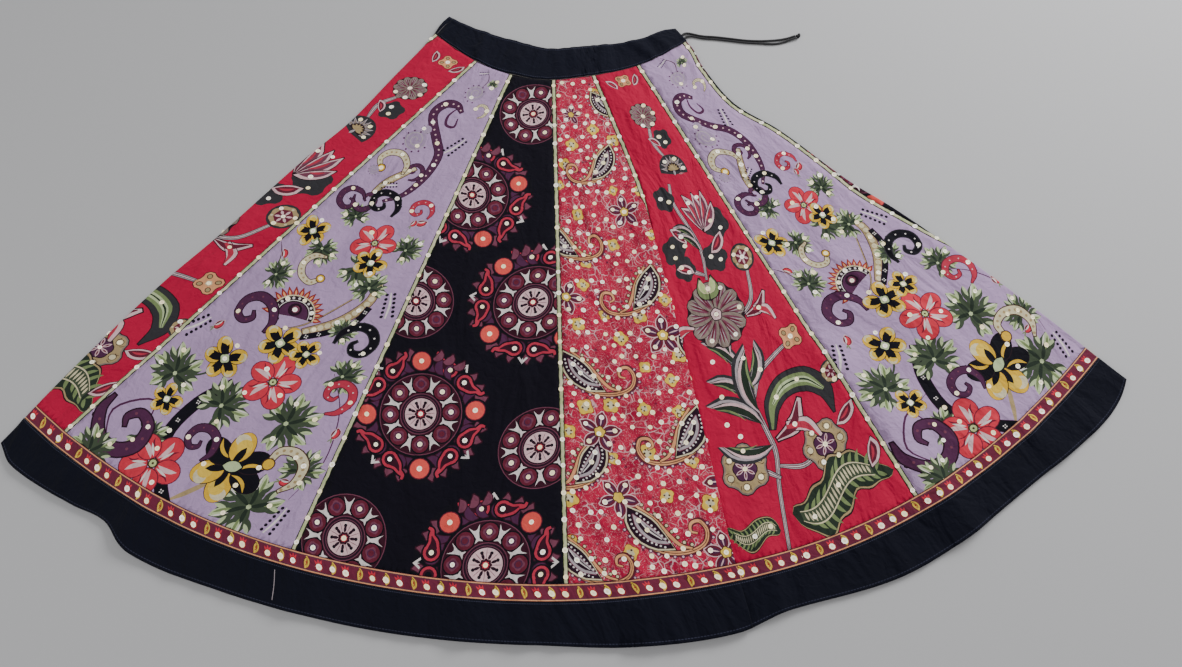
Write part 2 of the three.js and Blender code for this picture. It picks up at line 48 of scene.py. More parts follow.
# Sizes of the skirt, as in its solids
WALL = 1.2
SEAM_GAP = 0.3
RING_GAP = 0.6
GORES = 12
WAIST_WIDTH_OF_GORE = 77
HEM_WIDTH_OF_GORE = 368
PIPING_WIDTH = 6.5
BACK_Z = WALL / 2
FRONT_Z = 5.7
SIDE_BEND = (FRONT_Z - BACK_Z) / 2
PLY_PITCH = 1.8
RAMP = 26
FAN_CENTRE = (-46.5, 702.6)
WAIST_R = 330
BORDER_R = 1128
BORDER_LOW_R = 1150
GORE_LENGTH = BORDER_R - WAIST_R
BORDER_DEPTH = 22
WAISTBAND_DEPTH = 58
HEM_BAND_DEPTH = 54

# Outline seen from above: (angle, radius)
WAISTBAND_TOP = [
    (-41, 264), (-27.6, 259), (-11.6, 260), (0, 270), (13.5, 273), (25, 286), (34, 298), (40, 304), (44, 318),
]
WAIST_SEAM = [(-41, 303), (-30, 310), (-14, 325), (0, 333), (11, 333), (24, 339), (35, 344), (44, 346)]
BORDER_TOP = [(-40, 1132), (-24, 1131), (-9, 1124), (6, 1126), (24, 1134), (45, 1121)]
HEM_LINE = [
    (-39.5, 1186), (-38.4, 1196), (-36.8, 1208), (-31.5, 1199), (-29, 1193), (-26.3, 1211), (-20, 1205),
    (-13, 1200), (0, 1199), (6, 1208), (12.5, 1213), (16, 1203), (24, 1215), (34, 1202), (41, 1205),
    (43.2, 1200), (44.8, 1188),
]

# Outline at the sides: (radius, angle), and the straight seams: (angle at the waist, angle at the border)
LEFT_EDGE = [
    (262, -39.6), (302, -39.4), (345, -38.2), (434, -37.7), (531, -37.3), (624, -38.2), (802, -38.7),
    (900, -39.1), (1072, -38.9), (1210, -38.4),
]
RIGHT_EDGE = [
    (262, 43.6), (345, 42.4), (386, 40.4), (470, 39.1), (559, 41.3), (700, 42.5), (786, 43.6), (900, 44.3),
    (1050, 44.7), (1210, 44.7),
]
FRONT_SEAMS = [(-22.3, -35.4), (-10.2, -16.5), (2.1, 2.1), (13.9, 8.2), (26.5, 26.9)]
BACK_SEAMS = [(28.2, 32.6), (14.9, 21.4), (1.7, 10.2), (-11.5, -0.9), (-24.8, -12.1)]
# How far the outer seams lie inside the folded sides: (radius, millimetres), negative once round the back
LEFT_SEAM_INSIDE = [(262, 10), (332, 6), (380, -12), (500, -62), (1128, -303)]
RIGHT_SEAM_INSIDE = [(262, 7), (500, 8), (660, 8), (750, 14), (850, 6), (930, -8), (1128, -18)]

# Pleats
FRONT_PLEAT_EDGE = [(540, 15.9), (584, 15.6), (872, 14.35), (1130, 13.5), (1210, 13.4)]
FRONT_PLEAT_START_R = 560
FRONT_PLEAT_AT_BORDER = 124
GORE_PAST_PLEAT = [(330, 75), (560, 109), (663, 145), (1128, 369)]
BACK_PLEAT_PLACE = 0.68
BACK_PLEAT_START_R = 470
BACK_PLEAT_OPENING = 200
PLEAT_TURN_LENGTH = 44
LEAST_PLY = 0.8
RAMP_STRETCH = 1.2
LEAST_SINE = 0.05
CLEAR_OF_FOLD = 2

# Soft ridges of the front: radius and angle of both ends, height, half width
RIDGES = [
    (700, -27, 930, -30.6, 8, 26),
    (880, 27.5, 1230, 29, 9, 30),
    (360, 17.5, 500, 20, 5, 18),
    (370, 30, 560, 29, 5, 18),
    (430, 38, 560, 33, 4, 20),
    (1060, -4.6, 1230, -4.4, 5, 20),
    (1090, -0.8, 1230, -0.8, 4, 18),
    (1080, 15.6, 1230, 15.4, 5, 16),
    (1120, -27, 1230, -27.4, 6, 22),
    (270, 38.5, 345, 37.5, 6, 14),
]
# Finer creases in the cloth alone, and those of the back, which lies under the front
CREASES = [
    (350, 21, 470, 24.5, 3.2, 9), (400, 13, 520, 15, -2.2, 12), (500, 24, 640, 20.5, 2.6, 14),
    (380, -30, 520, -33, 2.4, 12),
    (560, -25, 760, -23.5, 3, 15), (780, -17, 960, -21.5, 2.6, 16), (640, -9, 860, -6.5, 2, 22),
    (900, -8, 1100, -11, 2.6, 24),
    (420, 4, 620, 6.5, 2, 16), (700, 4, 900, 3, 2.2, 20), (860, 19, 1080, 22, 3, 20),
    (760, 34, 960, 36.5, 3.2, 18),
    (520, 35.5, 640, 39, 2.6, 12), (940, 38, 1110, 34.5, 3, 20), (1000, -34, 1150, -35.5, 3, 18),
    (900, -26.5, 1180, -24, 2.6, 24),
    (350, -12, 480, -8, 2, 14), (1020, 6, 1200, 7.5, 3, 20), (1090, 36, 1220, 37.5, 4, 18),
    (1120, -15, 1220, -15.5, 3, 20),
    (278, 30, 340, 33, 3, 8), (268, 20, 330, 17, 2, 9), (262, -24, 322, -21, 2.4, 9),
    (264, -6, 330, -8, 1.8, 10),
]
BACK_CREASES = [
    (420, -20, 640, -24, 2, 20), (700, 10, 980, 14, 2.4, 26), (820, -30, 1080, -28, 2.2, 24),
    (560, 30, 820, 33, 2, 22),
]
RIDGE_END = 70
RIDGE_FROM_SIDE = (6, 45)
RIDGE_BELOW_FRONT = 1.2
RIDGE_ABOVE_BACK = 0.4
DEEPEST_CREASE = -2

# The cloth's two faces, from the middle of the solids' wall
CLOTH_OUT = 0.2
CLOTH_IN = -0.4

# Meshing of the cloth
GRID_STEP = 9
OUTLINE_STEP = 6
TURN_COLUMNS = 7
SIDE_COLUMNS = 12
INNER_STEP_SHARE = 1.3
LINE_STEP = 13
MERGE_WITHIN = 1e-4
PROBE = 0.15


def smooth(t):
    u = np.clip(t, 0, 1)
    return u * u * (3 - 2 * u)


def mix(a, b, t):
    return a + (b - a) * t


def look(table, place):
    """Value of a table at a place, on a smooth curve through its rows"""
    keys, values = np.array(table, float).T
    spot = np.clip(place, keys[0], keys[-1])
    i = np.clip(np.searchsorted(keys, spot, side="right") - 1, 0, len(keys) - 2)
    before = np.maximum(np.arange(len(keys)) - 1, 0)
    after = np.minimum(np.arange(len(keys)) + 1, len(keys) - 1)
    slopes = (values[after] - values[before]) / (keys[after] - keys[before])
    step = keys[i + 1] - keys[i]
    t = (spot - keys[i]) / step
    lift = t * (1 - t) * step * ((1 - t) * slopes[i] - t * slopes[i + 1])
    return mix(values[i], values[i + 1], smooth(t)) + lift


def waist_seam(at):
    return look(WAIST_SEAM, at)


def border_top(at):
    return look(BORDER_TOP, at)


def gore_radius(share, at):
    return mix(waist_seam(at) + RING_GAP / 2, border_top(at) - RING_GAP / 2, share)


def seam_x(seam, share, r):
    """Length along the row at which a straight seam crosses it"""
    waist, border = seam
    from_x, from_y = WAIST_R * math.sin(waist * RAD), WAIST_R * math.cos(waist * RAD)
    along_x = BORDER_R * math.sin(border * RAD) - from_x
    along_y = BORDER_R * math.cos(border * RAD) - from_y
    a = along_x * along_x + along_y * along_y
    b = from_x * along_x + from_y * along_y
    at = mix(waist, border, share)
    for _ in range(4):
        here = gore_radius(share, at)
        t = (np.sqrt(b * b - a * (WAIST_R * WAIST_R - here * here)) - b) / a
        at = np.arctan2(from_x + t * along_x, from_y + t * along_y) / RAD
    return at * RAD * r


def ridge_height(ridges, r, at):
    z = np.zeros_like(r)
    for r0, at0, r1, at1, high, wide in ridges:
        t = (r - r0) / (r1 - r0)
        along = smooth((r - r0) / RIDGE_END + 0.5) * smooth((r1 - r) / RIDGE_END + 0.5)
        across = (at - mix(at0, at1, t)) * RAD * r / wide
        z += high * along * np.exp(-across * across)
    return z


def knife_pleat(r, edge, start_r, depth):
    """A pleat at each row: its fold's place, the turn of its middle ply, and that ply's length"""
    turn = math.pi * np.clip((r - start_r) / PLEAT_TURN_LENGTH, 0, 1)
    bend = PLY_PITCH / 2
    room = 2 * PLY_PITCH - 2 * bend * (1 - np.cos(turn))
    rising = np.minimum(PLY_PITCH, room / np.maximum(LEAST_SINE, np.sin(turn)))
    length = np.where(turn >= math.pi, np.maximum(LEAST_PLY, depth), rising)
    drop = 2 * bend * (1 - np.cos(turn)) + length * np.sin(turn)
    inner = edge + np.minimum(0, length * np.cos(turn)) - CLEAR_OF_FOLD
    ramp = np.sqrt(RAMP * RAMP + RAMP_STRETCH * drop * drop)
    return {
        "edge": edge, "turn": turn, "bend": bend,
        "length": length, "drop": drop, "inner": inner, "ramp": ramp,
    }


def layer_stops(x_left, x_right, pleats):
    """Lengths along a layer at which its pleats begin, turn and end, and where the cloth goes on past each"""
    stops = [np.zeros_like(x_left)]
    ends = []
    here, x = stops[0], x_left
    for p in pleats:
        ramp_from = here + p["inner"] - RAMP - x
        ramp_to = ramp_from + p["ramp"]
        fold = ramp_to + p["edge"] - p["inner"]
        folded = fold + p["turn"] * p["bend"]
        back = folded + p["length"]
        here = back + p["turn"] * p["bend"]
        x = p["edge"] + 2 * p["bend"] * np.sin(p["turn"]) + p["length"] * np.cos(p["turn"])
        stops += [ramp_from, ramp_to, fold, folded, back, here]
        ends.append((here, x))
    stops.append(here + x_right - x)
    return stops, ends


def layer_place(u, x_left, base, pleats, stops, ends):
    """x and z of a length u along a layer"""
    x = x_left + u
    z = np.full_like(u, base)
    for m, p in enumerate(pleats):
        ramp_from, ramp_to, fold, folded, back, end = stops[1 + 6 * m:7 + 6 * m]
        top = base + p["drop"]
        t = np.clip((u - ramp_from) / p["ramp"], 0, 1)
        past = u >= ramp_from
        x = np.where(past, p["inner"] - RAMP + RAMP * t + np.maximum(0, u - ramp_to), x)
        z = np.where(past, mix(base, top, smooth(t)), z)
        turned = np.clip((u - fold) / p["bend"], 0, p["turn"])
        past = u >= fold
        x = np.where(past, p["edge"] + p["bend"] * np.sin(turned), x)
        z = np.where(past, top - p["bend"] + p["bend"] * np.cos(turned), z)
        ply = np.clip(u - folded, 0, p["length"])
        x = x + np.where(past, ply * np.cos(p["turn"]), 0)
        z = z - np.where(past, ply * np.sin(p["turn"]), 0)
        left = p["turn"] - np.clip((u - back) / p["bend"], 0, p["turn"])
        past = u >= back
        x = x + np.where(past, p["bend"] * (np.sin(p["turn"]) - np.sin(left)), 0)
        z = z + np.where(past, p["bend"] * (np.cos(p["turn"]) - np.cos(left)), 0)
        past = u >= end
        x = np.where(past, ends[m][1] + u - end, x)
        z = np.where(past, base, z)
    return x, z


def cloth_line(r):
    """The closed line of cloth at each row: its folds, its layers' lengths and its seams"""
    line = {"r": r}
    left = look(LEFT_EDGE, r) * RAD * r + WALL / 2
    right = look(RIGHT_EDGE, r) * RAD * r - WALL / 2
    share = np.clip((r - WAIST_R) / GORE_LENGTH, 0, 1)
    line["left"], line["right"] = left, right
    x_left, x_right = left + SIDE_BEND, right - SIDE_BEND
    edge = look(FRONT_PLEAT_EDGE, r) * RAD * r - WALL / 2 - PLY_PITCH / 2
    turned_r = FRONT_PLEAT_START_R + PLEAT_TURN_LENGTH
    depth = FRONT_PLEAT_AT_BORDER * (r - turned_r) / (BORDER_R - turned_r)
    line["front"] = [knife_pleat(r, edge, FRONT_PLEAT_START_R, depth)]

    inside_left, inside_right = look(LEFT_SEAM_INSIDE, r), look(RIGHT_SEAM_INSIDE, r)
    width = mix(WAIST_WIDTH_OF_GORE, HEM_WIDTH_OF_GORE, (r - WAIST_R) / GORE_LENGTH)
    inner_seams = [seam_x(seam, share, r) for seam in reversed(BACK_SEAMS)]
    back_seams = [left - np.minimum(0, inside_left), *inner_seams, right + np.minimum(0, inside_right)]
    opened = smooth((r - BACK_PLEAT_START_R - PLEAT_TURN_LENGTH) / BACK_PLEAT_OPENING)
    line["back"] = []
    for here, after in zip(back_seams, back_seams[1:]):
        spare = np.maximum(0, width - (after - here)) / 2
        fold = mix(here, after, BACK_PLEAT_PLACE)
        line["back"].append(knife_pleat(r, fold, BACK_PLEAT_START_R, spare * opened))

    line["front_stops"], line["front_ends"] = layer_stops(x_left, x_right, line["front"])
    line["back_stops"], line["back_ends"] = layer_stops(x_left, x_right, line["back"])
    quarter = SIDE_BEND * math.pi / 2
    front, back = line["front_stops"][-1], line["back_stops"][-1]
    line["quarter"] = quarter
    line["right_from"] = quarter + front
    line["back_from"] = line["right_from"] + 2 * quarter
    line["back_to"] = line["back_from"] + back
    line["length"] = line["back_to"] + quarter

    past_pleat, past_x = line["front_ends"][0]
    xs = [seam_x(seam, share, r) for seam in FRONT_SEAMS]
    seams = [inside_left] + [quarter + x - x_left for x in xs[:3]]
    last_front = quarter + past_pleat + xs[4] - past_x
    seams += [last_front - look(GORE_PAST_PLEAT, r), last_front, line["right_from"] + quarter - inside_right]
    for m in range(5, 0, -1):
        past, past_x = line["back_ends"][m - 1]
        seams.append(line["back_to"] - (past + back_seams[m] - past_x))
    seams.append(line["length"] + inside_left)
    line["seams"] = seams
    return line


def line_stops(line):
    """Lengths at which the whole line bends, in order, and how many columns each stretch takes"""
    zero = np.zeros_like(line["r"])
    stops = [(zero, SIDE_COLUMNS // 2)]
    kinds = [0, 4, 0, TURN_COLUMNS, 0, TURN_COLUMNS]
    pleats = line["front_stops"]
    for i, u in enumerate(pleats[:-1]):
        stops.append((line["quarter"] + u, kinds[i % 6]))
    stops.append((line["right_from"], SIDE_COLUMNS))
    pleats = line["back_stops"]
    for i in range(len(pleats) - 1, 0, -1):
        stops.append((line["back_to"] - pleats[i], kinds[(i - 1) % 6]))
    stops.append((line["back_to"], SIDE_COLUMNS // 2))
    return stops


def stops_across(line, across):
    """Where the line's bends cross a panel and the columns each takes, also one turn before and after"""
    found = []
    for turn in (-1, 0, 1):
        for s, columns in line_stops(line):
            found.append((across(s + turn * line["length"]), columns))
    return found


def on_line(line, s):
    """x, z and how far the front's ridges and the back's reach, at a length s of the line"""
    s = np.mod(s, line["length"])
    x_left, x_right = line["left"] + SIDE_BEND, line["right"] - SIDE_BEND
    low = BACK_Z + SIDE_BEND
    u = s - line["quarter"]
    front = layer_place(u, x_left, FRONT_Z, line["front"], line["front_stops"], line["front_ends"])
    u = line["back_to"] - s
    back = layer_place(u, x_left, BACK_Z, line["back"], line["back_stops"], line["back_ends"])
    b = math.pi / 2 + s / SIDE_BEND
    x, z = x_left - SIDE_BEND * np.sin(b), low - SIDE_BEND * np.cos(b)
    past = s >= line["quarter"]
    x, z = np.where(past, front[0], x), np.where(past, front[1], z)
    b = math.pi - (s - line["right_from"]) / SIDE_BEND
    past = s >= line["right_from"]
    x, z = np.where(past, x_right + SIDE_BEND * np.sin(b), x), np.where(past, low - SIDE_BEND * np.cos(b), z)
    past = s >= line["back_from"]
    x, z = np.where(past, back[0], x), np.where(past, back[1], z)
    b = (s - line["back_to"]) / SIDE_BEND
    past = s >= line["back_to"]
    x, z = np.where(past, x_left - SIDE_BEND * np.sin(b), x), np.where(past, low - SIDE_BEND * np.cos(b), z)
    clear, fade = RIDGE_FROM_SIDE
    from_side = np.minimum(x - line["left"], line["right"] - x)
    inside = smooth((from_side - clear) / fade)
    on_front = smooth(z - FRONT_Z + RIDGE_BELOW_FRONT) * inside
    on_back = smooth(BACK_Z + RIDGE_ABOVE_BACK - z) * inside
    return x, z, on_front, on_back


def in_space(row, s, radius):
    """Middle of the cloth in the part's frame, for rows, lengths along them and a function of the angle"""
    line = cloth_line(row)
    x, z, on_front, on_back = on_line(line, s(line))
    at = x / row / RAD
    raised = ridge_height(RIDGES, row, at) + ridge_height(CREASES, row, at)
    z = z + on_front * np.maximum(DEEPEST_CREASE, raised)
    z = z + on_back * ridge_height(BACK_CREASES, row, at)
    r = radius(row, at)
    x, y = FAN_CENTRE[0] + r * np.sin(at * RAD), FAN_CENTRE[1] - r * np.cos(at * RAD)
    return np.stack([x, y, z], axis=-1)


class Panel:
    """A cut piece of cloth. Its flat pattern is in millimetres, across and down from its top edge."""

    def __init__(self, outline, place, stops):
        self.outline = outline
        self.place = place
        self.stops = stops

    def frame(self, flat):
        """Places of flat points, with the cloth's normal and its two directions there"""
        step_across, step_down = np.array([PROBE, 0.0]), np.array([0.0, PROBE])
        along = self.place(flat + step_across) - self.place(flat - step_across)
        fall = self.place(flat + step_down) - self.place(flat - step_down)
        unit = [v / np.maximum(1e-9, np.linalg.norm(v, axis=1, keepdims=True)) for v in (along, fall)]
        normal = np.cross(unit[1], unit[0])
        normal /= np.maximum(1e-9, np.linalg.norm(normal, axis=1, keepdims=True))
        return self.place(flat), normal, unit[0], unit[1]


def strip_outline(half_width, top, foot):
    """Outline of a symmetric piece whose half width is a function of the length down it"""
    downs = np.linspace(top, foot, round((foot - top) / OUTLINE_STEP) + 1)
    halves = half_width(downs)

    def row(half, down, way):
        across = np.linspace(-half, half, max(1, round(2 * half / OUTLINE_STEP)) + 1)[1:-1]
        return np.stack([way * across, np.full_like(across, down)], axis=1)

    left = np.stack([-halves, downs], axis=1)
    right = np.stack([halves, downs], axis=1)
    return np.concatenate([left[::-1], row(halves[0], top, 1), right, row(halves[-1], foot, -1)])


def flat_width(down):
    return mix(WAIST_WIDTH_OF_GORE, HEM_WIDTH_OF_GORE, down / GORE_LENGTH)


def gore_row(down):
    return np.clip(WAIST_R + down, WAIST_R - PROBE, BORDER_R + PROBE)


def radius_on_gore(row, at):
    return gore_radius((row - WAIST_R) / GORE_LENGTH, at)


def gore_panel(k):
    """The gore from seam k to the next: across from its centre line, down from the waist"""
    edge = PIPING_WIDTH / 2 + SEAM_GAP

    def place(flat):
        half = flat_width(flat[:, 1]) / 2 - edge

        def length(line):
            from_seam, to_seam = line["seams"][k] + edge, line["seams"][k + 1] - edge
            return mix(from_seam, to_seam, 0.5 + 0.5 * flat[:, 0] / half)

        return in_space(gore_row(flat[:, 1]), length, radius_on_gore)

    def stops(down):
        line = cloth_line(WAIST_R + down)
        from_seam, to_seam = line["seams"][k] + edge, line["seams"][k + 1] - edge
        half = flat_width(down) / 2 - edge
        return stops_across(line, lambda s: (2 * (s - from_seam) / (to_seam - from_seam) - 1) * half)

    return Panel(strip_outline(lambda down: flat_width(down) / 2 - edge, 0, GORE_LENGTH), place, stops)


def piping_panel(k):
    """The strip sewn over seam k"""
    half = PIPING_WIDTH / 2

    def place(flat):
        return in_space(gore_row(flat[:, 1]), lambda line: line["seams"][k] + flat[:, 0], radius_on_gore)

    def stops(down):
        line = cloth_line(WAIST_R + down)
        return stops_across(line, lambda s: s - line["seams"][k])

    return Panel(strip_outline(lambda down: half + 0 * down, 0, GORE_LENGTH), place, stops)


def ring_panel(top_row, depth, radius):
    """A band all round the skirt, joined at the left side seam: across runs along its top edge"""
    top_line = cloth_line(np.array([float(top_row)]))
    around = float(top_line["length"][0])

    def length(line, across):
        return line["seams"][0] + (0.5 + across / around) * line["length"]

    def place(flat):
        row = np.clip(top_row + flat[:, 1], top_row - PROBE, top_row + depth + PROBE)
        return in_space(row, lambda line: length(line, flat[:, 0]), radius)

    def stops(down):
        line = cloth_line(top_row + down)
        return stops_across(line, lambda s: ((s - line["seams"][0]) / line["length"] - 0.5) * around)

    panel = Panel(strip_outline(lambda down: around / 2 + 0 * down, 0, depth), place, stops)
    panel.around = around
    panel.depth = depth
    return panel


def crease_lines(panel):
    """Lines along the folds of a panel, so that its mesh turns over them evenly: points and edges"""
    low, high = panel.outline.min(axis=0), panel.outline.max(axis=0)
    downs = np.linspace(low[1] - 1, high[1] + 1, max(3, round((high[1] - low[1]) / LINE_STEP)))
    reach = np.interp(downs, *half_reach(panel.outline)) + 3
    found = sorted(panel.stops(downs), key=lambda stop: float(np.mean(stop[0])))
    points, edges = [], []
    for (here, columns), (after, _) in zip(found, found[1:]):
        for j in range(columns + 1 if columns else 0):
            across = mix(here, after, j / columns)
            inside = np.abs(across) < reach
            start = len(points)
            points += [(a, d) for a, d in zip(across, downs)]
            edges += [(start + i, start + i + 1) for i in range(len(downs) - 1) if inside[i] or inside[i + 1]]
    return points, edges


def half_reach(outline):
    """Half width of an outline by the length down it"""
    downs = np.unique(np.round(outline[:, 1], 3))
    halves = [np.abs(outline[np.abs(outline[:, 1] - d) < 0.01][:, 0]).max() for d in downs]
    return downs, np.array(halves)


def cut(panel, shapes, step):
    """The panel's flat pattern as triangles: flat points, triangles, the topmost shape's number in each,
    and the points round the rim from the outline's first one. Later shapes lie on top of earlier ones."""
    points = [tuple(p) for p in panel.outline]
    faces = [list(range(len(points)))]
    for shape in shapes:
        faces.append(list(range(len(points), len(points) + len(shape))))
        points += [tuple(p) for p in shape]
    crease_points, crease_edges = crease_lines(panel)
    offset = len(points)
    points += crease_points
    edges = [(a + offset, b + offset) for a, b in crease_edges]
    low, high = panel.outline.min(axis=0), panel.outline.max(axis=0)
    downs = np.arange(low[1] + step / 2, high[1], step)
    halves = np.interp(downs, *half_reach(panel.outline)) - step / 3
    for n, (down, half) in enumerate(zip(downs, halves)):
        shift = step / 2 * (n % 2)
        columns = np.arange(-math.floor((half + shift) / step), math.floor((half - shift) / step) + 1)
        points += [(step * c + shift, down) for c in columns]
    made = delaunay_2d_cdt([Vector(p) for p in points], edges, faces, 0, MERGE_WITHIN)
    places, _, corners, _, _, origins = made
    keep = [i for i, origin in enumerate(origins) if 0 in origin]
    triangles = np.array([corners[i] for i in keep])
    top = np.array([max(origins[i]) for i in keep])
    used, triangles = np.unique(triangles, return_inverse=True)
    triangles = triangles.reshape(-1, 3)
    flat = np.array([tuple(places[i]) for i in used])
    first = int(np.abs(flat - panel.outline[0]).sum(axis=1).argmin())
    return flat, triangles, top, rim_from(triangles, first)


def rim_from(triangles, first):
    """Points round the rim, in the triangles' own direction"""
    directed = np.concatenate([triangles[:, [0, 1]], triangles[:, [1, 2]], triangles[:, [2, 0]]])
    size = triangles.max() + 1
    codes = directed[:, 0] * size + directed[:, 1]
    partners = directed[:, 1] * size + directed[:, 0]
    after = dict(directed[~np.isin(codes, partners)].tolist())
    rim = [first]
    while after[rim[-1]] != first:
        rim.append(after[rim[-1]])
    return np.array(rim)


def along_rim(flat, rim):
    """Length round the rim at each of its points and back at the first"""
    loop = flat[np.append(rim, rim[0])]
    return np.concatenate([[0], np.cumsum(np.linalg.norm(np.diff(loop, axis=0), axis=1))])


def close_rims(outer, outer_at, inner, inner_at):
    """Triangles between two rims that run side by side"""
    found = []
    i, j = 0, 0
    while i < len(outer) or j < len(inner):
        a, b = outer[i % len(outer)], inner[j % len(inner)]
        if j >= len(inner) or (i < len(outer) and outer_at[i + 1] <= inner_at[j + 1]):
            found.append((outer[(i + 1) % len(outer)], a, b))
            i += 1
        else:
            found.append((a, b, inner[(j + 1) % len(inner)]))
            j += 1
    return np.array(found)


def new_mesh(name, points, faces, rounded=True):
    mesh = bpy.data.meshes.new(name)
    mesh.from_pydata(points.tolist(), [], faces.tolist())
    mesh.polygons.foreach_set("use_smooth", np.full(len(mesh.polygons), rounded))
    piece = bpy.data.objects.new(name, mesh)
    bpy.context.scene.collection.objects.link(piece)
    return piece


def ink_faces(mesh, colours):
    """Gives each triangle its colour"""
    ink = mesh.color_attributes.new(name="ink", type="FLOAT_COLOR", domain="CORNER")
    with_alpha = np.concatenate([colours, np.ones((len(colours), 1))], axis=1)
    ink.data.foreach_set("color", np.repeat(with_alpha, 3, axis=0).reshape(-1).astype(np.float32))


# The plain inner face: the ground's colour, paled by a share of this one
WRONG_SIDE = np.array([0.5, 0.45, 0.45])
WRONG_SIDE_SHARE = 0.45


def sew(name, panel, ground, shapes=(), step=GRID_STEP, relief=None):
    """A thin closed shell of cloth on a panel. Its print lies on the outer face, the inner one is plain."""
    flat, triangles, top, rim = cut(panel, [points for _, points in shapes], step)
    inner_flat, inner_triangles, _, inner_rim = cut(panel, (), step * INNER_STEP_SHARE)
    middle, normal, _, _ = panel.frame(flat)
    lift = 0 if relief is None else relief(flat)[:, None]
    face = middle + normal * (CLOTH_OUT + lift)
    inner_middle, inner_normal, _, _ = panel.frame(inner_flat)
    count = len(flat)
    points = np.concatenate([face, inner_middle + inner_normal * CLOTH_IN])
    points[:, 2] = np.maximum(0, points[:, 2])
    walls = close_rims(rim, along_rim(flat, rim), inner_rim + count, along_rim(inner_flat, inner_rim))
    up = np.cross(*(face[triangles[:, i]] - face[triangles[:, 0]] for i in (1, 2)))
    faces = np.concatenate([triangles, inner_triangles[:, ::-1] + count, walls])
    if (up * normal[triangles[:, 0]]).sum() < 0:
        faces = faces[:, ::-1]
    piece = new_mesh(name, points * MM, faces)
    flat_uv = piece.data.uv_layers.new(name="flat")
    uv = np.concatenate([flat, inner_flat])[faces.reshape(-1)] * MM
    flat_uv.data.foreach_set("uv", uv.reshape(-1).astype(np.float32))
    palette = np.array([linear(ground)] + [linear(INKS[ink]) for ink, _ in shapes])
    wrong_side = mix(palette[0], WRONG_SIDE, WRONG_SIDE_SHARE)
    plain = np.tile(wrong_side, (len(inner_triangles) + len(walls), 1))
    ink_faces(piece.data, np.concatenate([palette[top], plain]))
    bare = piece.data.attributes.new("bare", "FLOAT", "CORNER")
    of_face = np.concatenate([top == 0, np.zeros(len(plain))])
    bare.data.foreach_set("value", np.repeat(of_face, 3).astype(np.float32))
    return piece


def linear(colour):
    """A colour written as sRGB hex, as linear red, green and blue"""
    parts = [int(colour[i:i + 2], 16) / 255 for i in (1, 3, 5)]
    return tuple(c / 12.92 if c <= 0.04045 else ((c + 0.055) / 1.055) ** 2.4 for c in parts)


def opaque(colour):
    return (*linear(colour), 1)


def plain_finish(name, colour, roughness):
    material = bpy.data.materials.new(name)
    material.use_nodes = True
    shader = material.node_tree.nodes["Principled BSDF"]
    shader.inputs["Base Color"].default_value = opaque(colour)
    shader.inputs["Roughness"].default_value = roughness
    return material


# The Mix node's sockets for colours, by number: factor, first and second colour, and the result
MIX_IN = (0, 6, 7)
MIX_OUT = 2


class Wires:
    """Short ways to add and join shader nodes in one tree"""

    def __init__(self, tree):
        self.tree = tree

    def node(self, kind, entries=None, **settings):
        made = self.tree.nodes.new(f"ShaderNode{kind}")
        for key, value in settings.items():
            setattr(made, key, value)
        for label, value in (entries or {}).items():
            self.feed(made.inputs[label], value)
        return made

    def flat(self):
        """Place on the flat pattern, in metres"""
        return self.node("UVMap", uv_map="flat").outputs["UV"]

    def feed(self, socket, value):
        if isinstance(value, bpy.types.NodeSocket):
            self.tree.links.new(value, socket)
        else:
            socket.default_value = value

    def maths(self, operation, *values):
        made = self.node("Math", operation=operation)
        for socket, value in zip(made.inputs, values):
            self.feed(socket, value)
        return made.outputs[0]

    def scaled(self, vector, scale):
        factor = scale if hasattr(scale, "__len__") else (scale,) * 3
        return self.node("VectorMath", {0: vector, 1: factor}, operation="MULTIPLY").outputs[0]

    def noise(self, vector, scale, detail=2.0, roughness=0.5, distortion=0.0):
        entries = {"Vector": vector, "Scale": scale, "Detail": detail}
        entries.update({"Roughness": roughness, "Distortion": distortion})
        return self.node("TexNoise", entries).outputs["Fac"]

    def spread(self, value, low, high, to_low=0.0, to_high=1.0):
        entries = {"Value": value, "From Min": low, "From Max": high, "To Min": to_low, "To Max": to_high}
        return self.node("MapRange", entries, interpolation_type="SMOOTHSTEP").outputs["Result"]

    def blend(self, mask, first, second, blend_type="MIX"):
        entries = dict(zip(MIX_IN, (mask, first, second)))
        return self.node("Mix", entries, data_type="RGBA", blend_type=blend_type).outputs[MIX_OUT]

    def bump(self, height, distance, strength=1.0):
        return self.node("Bump", {"Height": height, "Distance": distance, "Strength": strength})


def node_group(name, entries, exits):
    """An empty group: its wires, its entry sockets and its exit node's sockets"""
    tree = bpy.data.node_groups.new(name, "ShaderNodeTree")
    for label, kind in entries:
        tree.interface.new_socket(label, in_out="INPUT", socket_type=f"NodeSocket{kind}")
    for label, kind in exits:
        tree.interface.new_socket(label, in_out="OUTPUT", socket_type=f"NodeSocket{kind}")
    into, out = tree.nodes.new("NodeGroupInput"), tree.nodes.new("NodeGroupOutput")
    return Wires(tree), into.outputs, out.inputs


THREAD_PITCH = 0.0009


